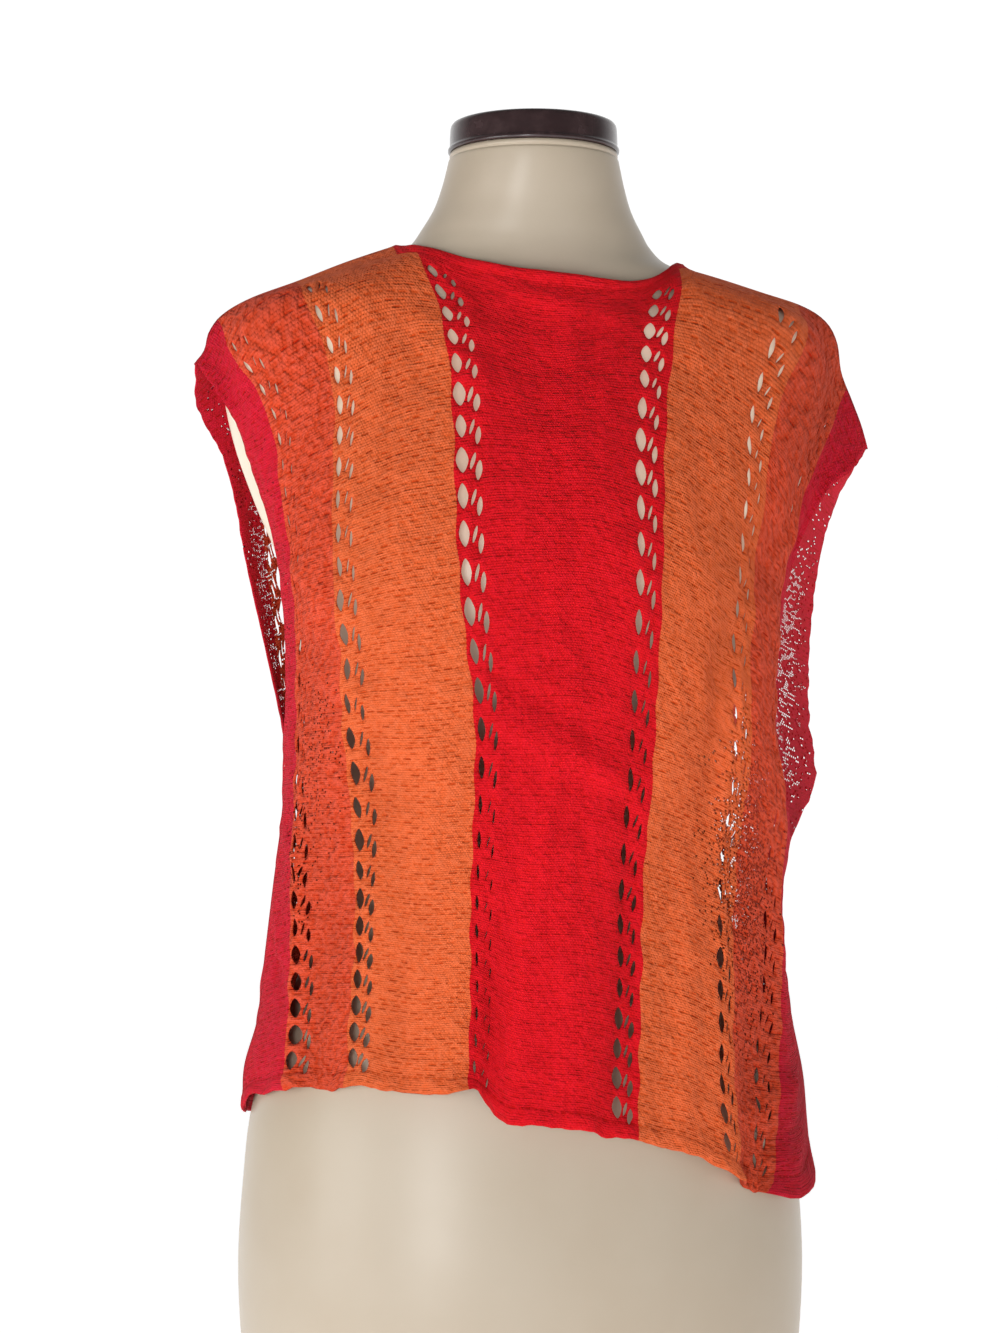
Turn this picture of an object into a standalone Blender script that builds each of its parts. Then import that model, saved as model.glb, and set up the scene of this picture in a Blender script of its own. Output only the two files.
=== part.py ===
"""Sleeveless striped knit top on a limbless dress form. Metres, +Z up, the front faces -Y."""

import bpy
import numpy as np
from mathutils import Vector
from mathutils.bvhtree import BVHTree

NAME = "sleeveless_knit_top"
CLOTH_THICK = 0.0020      # knit wall
HEM_THICK = 0.0030        # turned hems are double
SEAM_GAP = 0.0003
LACE_ROWS = {"front": 26, "back": 24}    # lace repeats down a panel
LACE_FROM = 0.034         # share of the way down where the lace starts, under the neck hem
LACE_TO = 0.982
LACE_WIDTH = 2.1          # cm, one lace column
HOLE_HALF_WIDTH = 0.21    # of a lace cell, across
HOLE_HALF_HEIGHT = 0.36   # of a lace cell, down
HOLE_ACROSS = 0.25        # middle of the hole in its cell, from the cell's own left as it is worn outside
HOLE_DOWN = 0.39
SIDE_SEAM_FROM = 0.52     # share of the way down where the armhole ends
FORM_CLEAR = 0.0006       # least gap between the cloth and the form
SEAM_CLEAR = 0.0036       # least gap from the form to the middle of a shoulder seam
RING_POINTS = 44

# The dress form. One row per level: height, half width, front, back, squareness.
FORM_LEVELS = [
    (0.000, 0.168, -0.115, 0.115, 2.2),
    (0.045, 0.1735, -0.119, 0.120, 2.2),
    (0.113, 0.1775, -0.122, 0.122, 2.2),
    (0.160, 0.175, -0.119, 0.117, 2.2),
    (0.2135, 0.1685, -0.113, 0.107, 2.2),
    (0.255, 0.154, -0.107, 0.096, 2.2),
    (0.300, 0.138, -0.101, 0.085, 2.2),
    (0.345, 0.122, -0.098, 0.078, 2.2),
    (0.390, 0.117, -0.098, 0.076, 2.2),
    (0.435, 0.123, -0.106, 0.077, 2.2),
    (0.480, 0.139, -0.124, 0.082, 2.2),
    (0.515, 0.149, -0.137, 0.087, 2.2),
    (0.546, 0.156, -0.140, 0.089, 2.2),
    (0.584, 0.171, -0.134, 0.091, 2.3),
    (0.622, 0.184, -0.122, 0.089, 2.3),
    (0.655, 0.1905, -0.111, 0.080, 2.3),
    (0.680, 0.1905, -0.102, 0.068, 2.3),
    (0.697, 0.184, -0.095, 0.056, 2.3),
    (0.708, 0.169, -0.090, 0.047, 2.3),
    (0.717, 0.143, -0.087, 0.040, 2.2),
    (0.726, 0.114, -0.086, 0.032, 2.1),
    (0.735, 0.088, -0.086, 0.025, 2.0),
    (0.744, 0.0765, -0.0865, 0.019, 2.0),
    (0.754, 0.0695, -0.088, 0.014, 2.0),
    (0.766, 0.0625, -0.090, 0.010, 2.0),
    (0.780, 0.0575, -0.093, 0.008, 2.0),
    (0.794, 0.0540, -0.0955, 0.008, 2.0),
    (0.8020, 0.0522, -0.0962, 0.0082, 2.0),
]
NECK_Y = -0.044
# The neck cap. One row per level: height, radius.
CAP_LEVELS = [
    (0.8023, 0.0520),
    (0.8030, 0.0534),
    (0.8050, 0.0534),
    (0.8065, 0.0526),
    (0.8175, 0.0520),
    (0.8200, 0.0508),
    (0.8209, 0.0485),
]

# Stripes of a panel from the wearer's right: colour, width in cm, columns of cells.
STRIPES = [
    ("crimson", 3.4, 2), ("lace", LACE_WIDTH, 1), ("rust", 3.5, 2), ("lace", LACE_WIDTH, 1),
    ("orange", 6.2, 3), ("lace", LACE_WIDTH, 1), ("red", 9.0, 5), ("lace", LACE_WIDTH, 1),
    ("orange", 6.2, 3), ("lace", LACE_WIDTH, 1), ("rust", 3.5, 2), ("lace", LACE_WIDTH, 1),
    ("crimson", 3.4, 2),
]
HALF_WIDTH = sum(row[1] for row in STRIPES) / 2
# Edges between the colours, in cm from the middle line. Each lace column has the yarn of the stripe inside it.
COLOUR_EDGES = [(6.6, "red"), (14.9, "orange"), (20.5, "rust"), (99.0, "crimson")]
# Height of the lace repeats, which hang longest at the middle: share of the rows, relative height.
LACE_PITCH = [(0.0, 0.020), (0.08, 0.026), (0.2, 0.031), (0.31, 0.038), (0.46, 0.047), (0.62, 0.045),
              (0.77, 0.037), (1.0, 0.035)]
# The neck stretches the red stripe, and folds take up some cloth lower down. Share of the way down,
# then the worn width of the red, orange, rust and crimson stripes, as a factor of the knitted one.
WORN_RIGHT = [(0.0, 1.28, 0.85, 0.85, 1.1), (0.1, 1.24, 0.93, 0.78, 1.1), (0.2, 1.14, 1.05, 0.78, 1.0),
              (0.3, 1.10, 1.05, 0.78, 1.05), (0.4, 0.98, 1.0, 1.0, 1.0), (0.52, 0.77, 1.03, 1.15, 1.05),
              (0.6, 0.77, 0.96, 1.25, 1.0), (0.7, 0.79, 0.94, 1.05, 1.45), (0.8, 0.79, 0.90, 0.95, 1.7),
              (0.9, 0.76, 0.97, 0.75, 1.95), (1.0, 0.77, 0.94, 0.73, 2.0)]
WORN_LEFT = [(0.0, 1.35, 0.80, 0.85, 1.1), (0.1, 1.25, 0.93, 1.05, 0.70), (0.15, 1.16, 1.07, 1.06, 0.55),
             (0.2, 1.10, 1.12, 0.95, 0.65), (0.3, 0.98, 1.0, 0.80, 1.20), (0.4, 0.92, 0.88, 0.75, 1.60),
             (0.52, 0.79, 0.82, 0.85, 1.90), (0.6, 0.79, 0.86, 0.98, 1.75), (0.7, 0.78, 0.84, 1.1, 1.6),
             (0.8, 0.77, 0.77, 1.0, 2.0), (0.9, 0.73, 0.78, 0.55, 2.7), (1.0, 0.69, 0.85, 0.28, 3.0)]

# The shoulder seams from the neck corner to the cap tip: x, y, z. Right is the wearer's right, at -X.
SEAM_RIGHT = [
    (-0.0840, -0.032, 0.744), (-0.1150, -0.026, 0.7335), (-0.1450, -0.021, 0.7215),
    (-0.1740, -0.017, 0.7105), (-0.1915, -0.014, 0.7000), (-0.1995, -0.013, 0.6890),
    (-0.2020, -0.012, 0.6785), (-0.2083, -0.012, 0.6690),
]
SEAM_LEFT = [
    (0.0930, -0.032, 0.7360), (0.1220, -0.026, 0.7300), (0.1520, -0.021, 0.7225),
    (0.1800, -0.017, 0.7150), (0.1960, -0.014, 0.7060), (0.2035, -0.013, 0.6930),
    (0.2065, -0.012, 0.6740), (0.2135, -0.012, 0.6560), (0.2200, -0.012, 0.6390),
    (0.2235, -0.012, 0.6250),
]
# The neck edge from the right corner to the left one, between the corners: x, y, z.
NECK_FRONT = [(-0.062, -0.071, 0.7335), (-0.030, -0.094, 0.7235), (0.009, -0.102, 0.7180),
              (0.048, -0.095, 0.7155), (0.076, -0.072, 0.7240)]
NECK_BACK = [(-0.064, 0.004, 0.7470), (-0.034, 0.022, 0.7450), (0.006, 0.029, 0.7430),
             (0.046, 0.021, 0.7410), (0.075, 0.002, 0.7400)]

# Side edges of the panels, from the cap tip down: share of the way down, front x and y, back x and y, z.
EDGE_RIGHT = [
    (0.000, -0.2083, -0.012, -0.2083, -0.012, 0.6690),
    (0.060, -0.1940, -0.038, -0.2035, 0.026, 0.6440),
    (0.110, -0.1825, -0.043, -0.1895, 0.034, 0.6230),
    (0.165, -0.1745, -0.046, -0.1800, 0.040, 0.5990),
    (0.255, -0.1625, -0.050, -0.1709, 0.045, 0.5560),
    (0.375, -0.1540, -0.040, -0.1595, 0.034, 0.5010),
    (0.460, -0.1515, -0.022, -0.1530, 0.016, 0.4640),
    (0.520, -0.1504, -0.005, -0.1504, -0.005, 0.4400),
    (0.600, -0.1503, -0.005, -0.1503, -0.005, 0.4020),
    (0.720, -0.1565, 0.000, -0.1565, 0.000, 0.3460),
    (0.800, -0.1610, 0.003, -0.1610, 0.003, 0.3050),
    (0.890, -0.1660, 0.004, -0.1660, 0.004, 0.2610),
    (0.950, -0.1740, 0.004, -0.1740, 0.004, 0.2320),
    (1.000, -0.1745, 0.004, -0.1745, 0.004, 0.2080),
]
EDGE_LEFT = [
    (0.000, 0.2235, -0.012, 0.2235, -0.012, 0.6250),
    (0.040, 0.2090, -0.032, 0.2200, 0.018, 0.6090),
    (0.070, 0.1920, -0.044, 0.2180, 0.034, 0.5980),
    (0.110, 0.1790, -0.049, 0.2125, 0.040, 0.5800),
    (0.165, 0.1670, -0.050, 0.2070, 0.044, 0.5560),
    (0.255, 0.1540, -0.047, 0.2010, 0.044, 0.5120),
    (0.375, 0.1505, -0.038, 0.1985, 0.039, 0.4530),
    (0.460, 0.1580, -0.022, 0.1975, 0.023, 0.4080),
    (0.520, 0.1745, 0.000, 0.1745, 0.000, 0.3740),
    (0.600, 0.1685, 0.000, 0.1685, 0.000, 0.3430),
    (0.700, 0.1688, 0.003, 0.1688, 0.003, 0.3030),
    (0.800, 0.1760, 0.005, 0.1760, 0.005, 0.2620),
    (0.890, 0.1840, 0.006, 0.1840, 0.006, 0.2225),
    (0.950, 0.1862, 0.006, 0.1862, 0.006, 0.1960),
    (1.000, 0.1882, 0.006, 0.1882, 0.006, 0.1740),
]
# The middle line of each panel below the neck: share of the way down, x, y, z, squareness of the
# section on the wearer's right and left, rise of the shoulder over the middle.
MIDDLE_FRONT = [
    (0.10, 0.004, -0.114, 0.6690, 1.4, 1.35, 0.026),
    (0.20, 0.002, -0.133, 0.6190, 2.1, 1.9, 0.012),
    (0.30, 0.001, -0.1455, 0.5660, 2.9, 2.5, 0.004),
    (0.40, -0.001, -0.148, 0.5130, 3.0, 2.5, 0.0),
    (0.52, -0.001, -0.145, 0.4490, 2.7, 2.0, 0.0),
    (0.64, -0.002, -0.139, 0.3860, 2.5, 1.9, 0.0),
    (0.76, -0.003, -0.136, 0.3230, 2.2, 1.9, 0.0),
    (0.88, -0.005, -0.135, 0.2620, 2.0, 1.9, 0.0),
    (1.00, -0.006, -0.137, 0.2040, 1.9, 1.9, 0.0),
]
MIDDLE_BACK = [
    (0.10, 0.006, 0.062, 0.6920, 1.35, 1.35, 0.012),
    (0.20, 0.006, 0.092, 0.6420, 1.9, 1.9, 0.004),
    (0.30, 0.003, 0.100, 0.5880, 2.3, 2.3, 0.0),
    (0.40, 0.002, 0.101, 0.5340, 2.4, 2.4, 0.0),
    (0.52, 0.002, 0.102, 0.4690, 2.4, 2.4, 0.0),
    (0.64, 0.002, 0.105, 0.4040, 2.3, 2.3, 0.0),
    (0.76, 0.003, 0.116, 0.3400, 2.3, 2.3, 0.0),
    (0.88, 0.004, 0.127, 0.2760, 2.3, 2.3, 0.0),
    (1.00, 0.004, 0.135, 0.2120, 2.3, 2.3, 0.0),
]
# How far the bottom hem is over or under its plain curve: cm across, rise of the front, of the back.
HEM_RISE = [(-23.9, 0.0, 0.0), (-19.3, 0.014, -0.012), (-14.0, 0.020, -0.013), (-9.0, 0.017, -0.008),
            (-6.2, 0.024, -0.006), (-4.6, 0.006, 0.0), (-3.0, 0.0, 0.0), (0.0, -0.001, 0.0), (6.6, -0.006, -0.004), (11.0, -0.013, -0.008),
            (14.0, -0.023, -0.010), (18.5, -0.028, -0.008), (20.5, -0.029, -0.006), (21.5, -0.032, -0.004),
            (22.5, -0.022, -0.002), (23.9, 0.0, 0.0)]

# Folds: panel, cm across at the top end, at the lower end, share down from, to, half width in cm, height.
FOLDS = [
    ("front", -4.6, -4.9, 0.70, 1.02, 1.5, -0.013),
    ("front", -7.6, -7.9, 0.62, 1.02, 1.9, 0.006),
    ("front", 13.2, 13.6, 0.62, 1.02, 1.7, 0.008),
    ("front", 17.6, 17.8, 0.62, 1.02, 1.5, -0.010),
    ("front", -17.5, -17.0, 0.55, 1.02, 1.8, -0.006),
    ("front", 20.5, 12.0, 0.20, 0.60, 1.8, 0.005),
    ("front", 0.5, 1.5, 0.45, 1.00, 2.6, 0.004),
    ("back", 5.0, 4.6, 0.60, 1.02, 1.8, -0.010),
    ("back", 8.4, 8.6, 0.55, 1.02, 2.0, 0.006),
    ("back", -12.5, -13.0, 0.55, 1.02, 2.0, 0.008),
    ("back", -9.0, -9.2, 0.60, 1.02, 1.8, -0.007),
    ("back", -1.0, -1.5, 0.40, 1.00, 2.6, 0.005),
    ("back", 16.5, 17.0, 0.50, 1.02, 2.0, -0.007),
]

# Base colours as linear red, green, blue.
COLOURS = {
    "red": (0.52, 0.018, 0.028),
    "orange": (0.62, 0.155, 0.055),
    "rust": (0.46, 0.085, 0.035),
    "crimson": (0.33, 0.022, 0.040),
    "form": (0.74, 0.62, 0.46),
    "cap": (0.050, 0.030, 0.026),
}


def material(name, roughness):
    mat = bpy.data.materials.new(name)
    mat.use_nodes = True
    shader = mat.node_tree.nodes["Principled BSDF"]
    shader.inputs["Base Color"].default_value = (*COLOURS[name], 1.0)
    shader.inputs["Roughness"].default_value = roughness
    mat.diffuse_color = (*COLOURS[name], 1.0)
    return mat


def curve(rows, at):
    """A smooth curve through rows of (place, values...), read at each place in at."""
    rows = np.array(rows, float)
    x, y = rows[:, 0], rows[:, 1:]
    slope = np.gradient(y, x, axis=0)
    at = np.clip(np.atleast_1d(at), x[0], x[-1])
    i = np.clip(np.searchsorted(x, at, side="right") - 1, 0, len(x) - 2)
    h = (x[i + 1] - x[i])[:, None]
    t = ((at - x[i]) / (x[i + 1] - x[i]))[:, None]
    return ((2 * t**3 - 3 * t**2 + 1) * y[i] + (t**3 - 2 * t**2 + t) * h * slope[i]
            + (3 * t**2 - 2 * t**3) * y[i + 1] + (t**3 - t**2) * h * slope[i + 1])


def smooth(t):
    t = np.clip(t, 0.0, 1.0)
    return t * t * (3 - 2 * t)


def along(points, shares):
    """Places at the given shares of the length of a line of points."""
    points = np.asarray(points, float)
    step = np.linalg.norm(np.diff(points, axis=0), axis=1)
    length = np.concatenate([[0], np.cumsum(step)])
    return np.stack([np.interp(np.asarray(shares) * length[-1], length, points[:, k]) for k in range(3)], 1)


def rounded(points):
    """A line of points made smooth, with 20 places to each step."""
    rows = [(k, *p) for k, p in enumerate(points)]
    return curve(rows, np.linspace(0, len(rows) - 1, 20 * len(rows)))


def width_share(table, across, down):
    """Share of the way from the middle line to the edge, with each stripe at its worn width."""
    worn = [np.interp(down, [r[0] for r in table], [r[k] for r in table]) for k in (1, 2, 3, 4)]
    ends = np.array([0.0] + [edge for edge, _ in COLOUR_EDGES[:3]] + [HALF_WIDTH])
    places = np.concatenate([[0.0], np.cumsum(np.diff(ends) * worn)])
    return np.interp(np.abs(across), ends, places) / places[-1]


def top_line(panel, across):
    """The top edge of a panel: a shoulder seam, the neck edge and the other seam."""
    neck = NECK_FRONT if panel == "front" else NECK_BACK
    line = rounded([SEAM_RIGHT[0], *neck, SEAM_LEFT[0]])
    corner = 7.6
    out = np.empty((len(across), 3))
    middle = np.abs(across) <= corner
    out[middle] = along(line, (across[middle] / corner + 1) / 2)
    for seam, side in ((SEAM_RIGHT, across < -corner), (SEAM_LEFT, across > corner)):
        out[side] = along(rounded(seam), (np.abs(across[side]) - corner) / (HALF_WIDTH - corner))
    return out


def edge_place(rows, panel, down):
    """The side edge of a panel. Below the armhole both panels share it."""
    fx, fy, bx, by, z = curve(rows, down)[0]
    if down >= SIDE_SEAM_FROM - 1e-9:
        return np.array([(fx + bx) / 2, (fy + by) / 2, z])
    return np.array([fx, fy, z] if panel == "front" else [bx, by, z])


def section(panel, down, across):
    """One section of a panel below its top edge."""
    table = MIDDLE_FRONT if panel == "front" else MIDDLE_BACK
    mx, my, mz, *squares, rise = curve(table, down)[0]
    out = np.empty((len(across), 3))
    for rows, worn, square, side in ((EDGE_RIGHT, WORN_RIGHT, squares[0], across < 0),
                                     (EDGE_LEFT, WORN_LEFT, squares[1], across >= 0)):
        ex, ey, ez = edge_place(rows, panel, down)
        a = np.linspace(0, 1, 300) ** 1.6 * np.pi / 2
        q = np.sin(a) ** (2 / square)
        line = np.stack([mx + (ex - mx) * q, ey + (my - ey) * np.cos(a) ** (2 / square),
                         mz + (ez - mz) * q**1.7 + rise * np.sin(np.pi * q**0.8) ** 2], 1)
        out[side] = along(line, width_share(worn, across[side], down))
    column = 1 if panel == "front" else 2
    out[:, 2] += np.interp(across, [r[0] for r in HEM_RISE], [r[column] for r in HEM_RISE]) * \
        smooth((down - 0.55) / 0.45)
    return out


def form_tree(body):
    mesh = body.data
    return BVHTree.FromPolygons([v.co for v in mesh.vertices], [p.vertices for p in mesh.polygons])


def push_clear(points, tree, clear):
    """Moves each point that is inside the form, or nearer to it than clear, out to that gap."""
    for i, p in enumerate(points):
        place, normal, _, _ = tree.find_nearest(Vector(p))
        gap = (Vector(p) - place).dot(normal)
        if gap < clear:
            points[i] = place + normal * clear
    return points


def settle(points, inward, faces, held, tree):
    """Moves the wall out until no part of its inner face is nearer to the form than the least gap."""
    triangles = np.array(faces)
    parts = np.array([(1, 0, 0), (0.5, 0.5, 0), (0, 0.5, 0.5), (0.5, 0, 0.5), (1 / 3, 1 / 3, 1 / 3),
                      (0.6, 0.2, 0.2), (0.2, 0.6, 0.2), (0.2, 0.2, 0.6)])
    for _ in range(24):
        corners = (points + inward)[triangles]
        moves = np.zeros((len(points), 3))
        sizes = np.zeros(len(points))
        for part in parts:
            for place, triangle in zip((corners * part[None, :, None]).sum(axis=1), triangles):
                near, normal, _, _ = tree.find_nearest(Vector(place))
                short = FORM_CLEAR - (Vector(place) - near).dot(normal)
                if short > 1e-5:
                    for v in triangle:
                        if short > sizes[v] and not held[v]:
                            sizes[v] = short
                            moves[v] = np.array(normal) * (short + 5e-5)
        if not sizes.any():
            break
        points += moves
    return points


def panel_grid(panel, tree):
    """The middle of a panel's wall as a grid of rows down and columns across."""
    across = np.linspace(-HALF_WIDTH, HALF_WIDTH, 57)
    knots = np.array([0.0, 0.1, 0.2, 0.3, 0.4, SIDE_SEAM_FROM, 0.64, 0.76, 0.88, 1.0])
    lines = np.array([top_line(panel, across)] + [section(panel, k, across) for k in knots[1:]])
    rows = np.linspace(0, 1, 53)
    flat = curve([(k, *line.ravel()) for k, line in zip(knots, lines)], rows)
    grid = flat.reshape(len(rows), len(across), 3)
    for k, down in enumerate(rows[1:], 1):
        for rows_of, side in ((EDGE_RIGHT, 0), (EDGE_LEFT, -1)):
            shift = edge_place(rows_of, panel, down) - grid[k, side]
            near = np.clip(1 - np.abs(across - across[side]) / 6.0, 0, 1) ** 2
            grid[k] += near[:, None] * shift
    for fold_panel, high, low, start, end, half, height in FOLDS:
        if fold_panel != panel:
            continue
        share = np.clip((rows - start) / (end - start), 0, 1)
        centre = high + (low - high) * share
        bump = np.exp(-((across[None, :] - centre[:, None]) / half) ** 2)
        fade = smooth(share * 1.6) * (smooth((1 - share) * 4) if end <= 0.95 else 1.0)
        inside = np.clip((HALF_WIDTH - np.abs(across)) / 2.5, 0, 1)
        grid += (bump * (fade * height)[:, None] * inside)[:, :, None] * normals(grid)
    for _ in range(4):
        for _ in range(3):
            around = (grid[:-2, 1:-1] + grid[2:, 1:-1] + grid[1:-1, :-2] + grid[1:-1, 2:]) / 4
            grid[1:-1, 1:-1] = grid[1:-1, 1:-1] * 0.6 + around * 0.4
        push_clear(grid.reshape(-1, 3), tree, FORM_CLEAR + CLOTH_THICK / 2)
    return across, rows, grid


def normals(grid):
    """Outward normals of a grid."""
    a, b = np.gradient(grid, axis=1), np.gradient(grid, axis=0)
    n = np.cross(a, b)
    n /= np.linalg.norm(n, axis=2)[:, :, None]
    middle = grid.mean(axis=(0, 1))
    outside = np.sign((n * (grid - [middle[0], -0.01, middle[2]])).sum(axis=2).mean())
    return n * outside


def read_grid(across, rows, grid, a, d):
    """The grid read smoothly at places across and down."""
    x = np.clip((a - across[0]) / (across[1] - across[0]), 0, len(across) - 1)
    y = np.clip((d - rows[0]) / (rows[1] - rows[0]), 0, len(rows) - 1)
    i, j = np.minimum(x.astype(int), len(across) - 2), np.minimum(y.astype(int), len(rows) - 2)
    u, v = (x - i)[:, None], (y - j)[:, None]

    def spline(p0, p1, p2, p3, t):
        return 0.5 * (2 * p1 + (p2 - p0) * t + (2 * p0 - 5 * p1 + 4 * p2 - p3) * t**2
                      + (3 * p1 - p0 - 3 * p2 + p3) * t**3)

    lines = []
    for dj in (-1, 0, 1, 2):
        jj = np.clip(j + dj, 0, len(rows) - 1)
        p = [grid[jj, np.clip(i + di, 0, len(across) - 1)] for di in (-1, 0, 1, 2)]
        lines.append(spline(*p, u))
    return spline(*lines, v)


def lace_downs(panel):
    """Places down a panel between which the lace repeats lie."""
    shares = (np.arange(LACE_ROWS[panel]) + 0.5) / LACE_ROWS[panel]
    heights = np.interp(shares, [row[0] for row in LACE_PITCH], [row[1] for row in LACE_PITCH])
    places = np.concatenate([[0.0], np.cumsum(heights)]) / heights.sum()
    return LACE_FROM + (LACE_TO - LACE_FROM) * places


def panel_layout(panel):
    """Points (across, down) and triangles of a panel laid flat, with the lace holes left open."""
    columns, kinds = [-HALF_WIDTH], []
    for name, width, cells in STRIPES:
        for _ in range(cells):
            columns.append(columns[-1] + width / cells)
            kinds.append(name)
    downs = [0.0] + list(lace_downs(panel)) + [1.0]
    points = [(a, d) for d in downs for a in columns]
    n = len(columns)
    faces = []
    for r in range(len(downs) - 1):
        for c, kind in enumerate(kinds):
            a, b = r * n + c, r * n + c + 1
            e, f = b + n, a + n
            if kind != "lace" or r in (0, len(downs) - 2):
                faces += [(a, b, e), (a, e, f)]
                continue
            wide, high = columns[c + 1] - columns[c], downs[r + 1] - downs[r]
            share = HOLE_ACROSS if panel == "front" else 1 - HOLE_ACROSS
            ca, cd = columns[c] + wide * share, downs[r] + high * HOLE_DOWN
            first = len(points)
            for da, dd in ((0, -1.0), (1, -0.45), (1, 0.45), (0, 1.0), (-1, 0.45), (-1, -0.45)):
                points.append((ca + da * wide * HOLE_HALF_WIDTH, cd + dd * high * HOLE_HALF_HEIGHT))
            top, ru, rd, low, ld, lu = range(first, first + 6)
            faces += [(a, b, top), (b, ru, top), (b, e, ru), (e, rd, ru), (e, low, rd), (e, f, low),
                      (f, ld, low), (f, a, ld), (a, lu, ld), (a, top, lu)]
    return np.array(points), faces


def panel_solid(panel, tree, mats):
    across, rows, grid = panel_grid(panel, tree)
    flat, faces = panel_layout(panel)
    middle = read_grid(across, rows, grid, flat[:, 0], flat[:, 1])
    outward = read_grid(across, rows, normals(grid), flat[:, 0], flat[:, 1])
    side = -1.0 if panel == "front" else 1.0
    at_top = (flat[:, 1] == 0) & (np.abs(flat[:, 0]) > 7.6)
    at_side = (np.abs(flat[:, 0]) > HALF_WIDTH - 1e-6) & (flat[:, 1] > SIDE_SEAM_FROM)
    seam = at_top | at_side
    outward[seam, 1] = 0.0
    outward /= np.linalg.norm(outward, axis=1)[:, None]
    in_hem = (flat[:, 1] < LACE_FROM + 1e-6) | (flat[:, 1] > LACE_TO - 1e-6)
    thick = np.where(in_hem, HEM_THICK, CLOTH_THICK)
    shared = push_clear(top_line(panel, flat[:, 0]), tree, SEAM_CLEAR)
    middle[at_top] = shared[at_top]
    for i in np.flatnonzero(at_side):
        middle[i] = edge_place(EDGE_RIGHT if flat[i, 0] < 0 else EDGE_LEFT, panel, flat[i, 1])
    middle = settle(middle, -outward * thick[:, None] / 2, faces, seam, tree)
    middle[seam, 1] += side * SEAM_GAP / 2
    outer, inner = middle + outward * thick[:, None] / 2, middle - outward * thick[:, None] / 2
    count = len(middle)
    edges = {}
    for f in faces:
        for p, q in zip(f, f[1:] + f[:1]):
            edges[(p, q)] = True
    rim = [(p, q) for p, q in edges if (q, p) not in edges]
    walls = [w for p, q in rim for w in ((q, p, p + count), (q, p + count, q + count))]
    solid = [tuple(f) for f in faces] + [tuple(v + count for v in reversed(f)) for f in faces] + walls
    mesh = bpy.data.meshes.new(panel + "_panel")
    mesh.from_pydata([tuple(p) for p in np.concatenate([outer, inner])], [], solid)
    for name in ("red", "orange", "rust", "crimson"):
        mesh.materials.append(mats[name])
    for polygon in mesh.polygons:
        place = abs(np.mean([flat[v % count, 0] for v in polygon.vertices]))
        polygon.material_index = next(k for k, (edge, _) in enumerate(COLOUR_EDGES) if place < edge)
    return finished(panel + "_panel", mesh)


def finished(name, mesh):
    mesh.update()
    obj = bpy.data.objects.new(name, mesh)
    collection.objects.link(obj)
    flip = signed_volume(mesh) < 0
    if flip:
        mesh.flip_normals()
    return obj


def signed_volume(mesh):
    total = 0.0
    for polygon in mesh.polygons:
        p = [mesh.vertices[v].co for v in polygon.vertices]
        for k in range(1, len(p) - 1):
            total += p[0].dot(p[k].cross(p[k + 1])) / 6
    return total


def lofted(name, rings, mat):
    """A closed body through rings of points, with flat ends."""
    n = len(rings[0])
    verts = [p for ring in rings for p in ring]
    faces = [(r * n + k, r * n + (k + 1) % n, (r + 1) * n + (k + 1) % n, (r + 1) * n + k)
             for r in range(len(rings) - 1) for k in range(n)]
    faces.append(tuple(reversed(range(n))))
    faces.append(tuple(range(len(verts) - n, len(verts))))
    mesh = bpy.data.meshes.new(name)
    mesh.from_pydata(verts, [], faces)
    mesh.materials.append(mat)
    return finished(name, mesh)


def form_ring(z, half, front, back, square):
    ring = []
    middle, deep = (front + back) / 2, (back - front) / 2
    for k in range(RING_POINTS):
        a = 2 * np.pi * k / RING_POINTS
        c, s = np.cos(a), np.sin(a)
        ring.append((half * np.sign(c) * abs(c) ** (2 / square),
                     middle + deep * np.sign(s) * abs(s) ** (2 / square), z))
    return ring


def cap_ring(z, radius):
    angles = [2 * np.pi * k / 36 for k in range(36)]
    return [(radius * np.cos(a), NECK_Y + radius * np.sin(a), z) for a in angles]


for old in list(bpy.data.objects):
    bpy.data.objects.remove(old, do_unlink=True)
collection = bpy.data.collections.new(NAME)
bpy.context.scene.collection.children.link(collection)

cloth_mats = {name: material(name, 0.9) for name in ("red", "orange", "rust", "crimson")}
form = lofted("dress_form", [form_ring(*row) for row in FORM_LEVELS], material("form", 0.45))
lofted("neck_cap", [cap_ring(*row) for row in CAP_LEVELS], material("cap", 0.4))
form_surface = form_tree(form)
for panel_name in ("front", "back"):
    panel_solid(panel_name, form_surface, cloth_mats)
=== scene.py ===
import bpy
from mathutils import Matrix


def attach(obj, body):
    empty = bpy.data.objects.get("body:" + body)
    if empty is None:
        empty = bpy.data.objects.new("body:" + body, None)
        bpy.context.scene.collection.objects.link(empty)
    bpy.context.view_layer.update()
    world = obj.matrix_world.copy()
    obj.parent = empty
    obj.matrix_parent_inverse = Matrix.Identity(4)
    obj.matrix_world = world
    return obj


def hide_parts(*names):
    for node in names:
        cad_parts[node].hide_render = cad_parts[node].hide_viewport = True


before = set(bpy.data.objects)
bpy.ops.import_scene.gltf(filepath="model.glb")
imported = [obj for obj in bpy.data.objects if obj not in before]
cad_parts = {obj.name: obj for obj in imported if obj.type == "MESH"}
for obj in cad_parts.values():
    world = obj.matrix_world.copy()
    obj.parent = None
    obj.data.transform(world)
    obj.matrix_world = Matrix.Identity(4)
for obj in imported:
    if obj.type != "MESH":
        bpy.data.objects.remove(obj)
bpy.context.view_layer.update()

import math
import bpy
import numpy as np
from mathutils import Vector, noise
from mathutils.bvhtree import BVHTree
from mathutils.geometry import delaunay_2d_cdt


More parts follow.
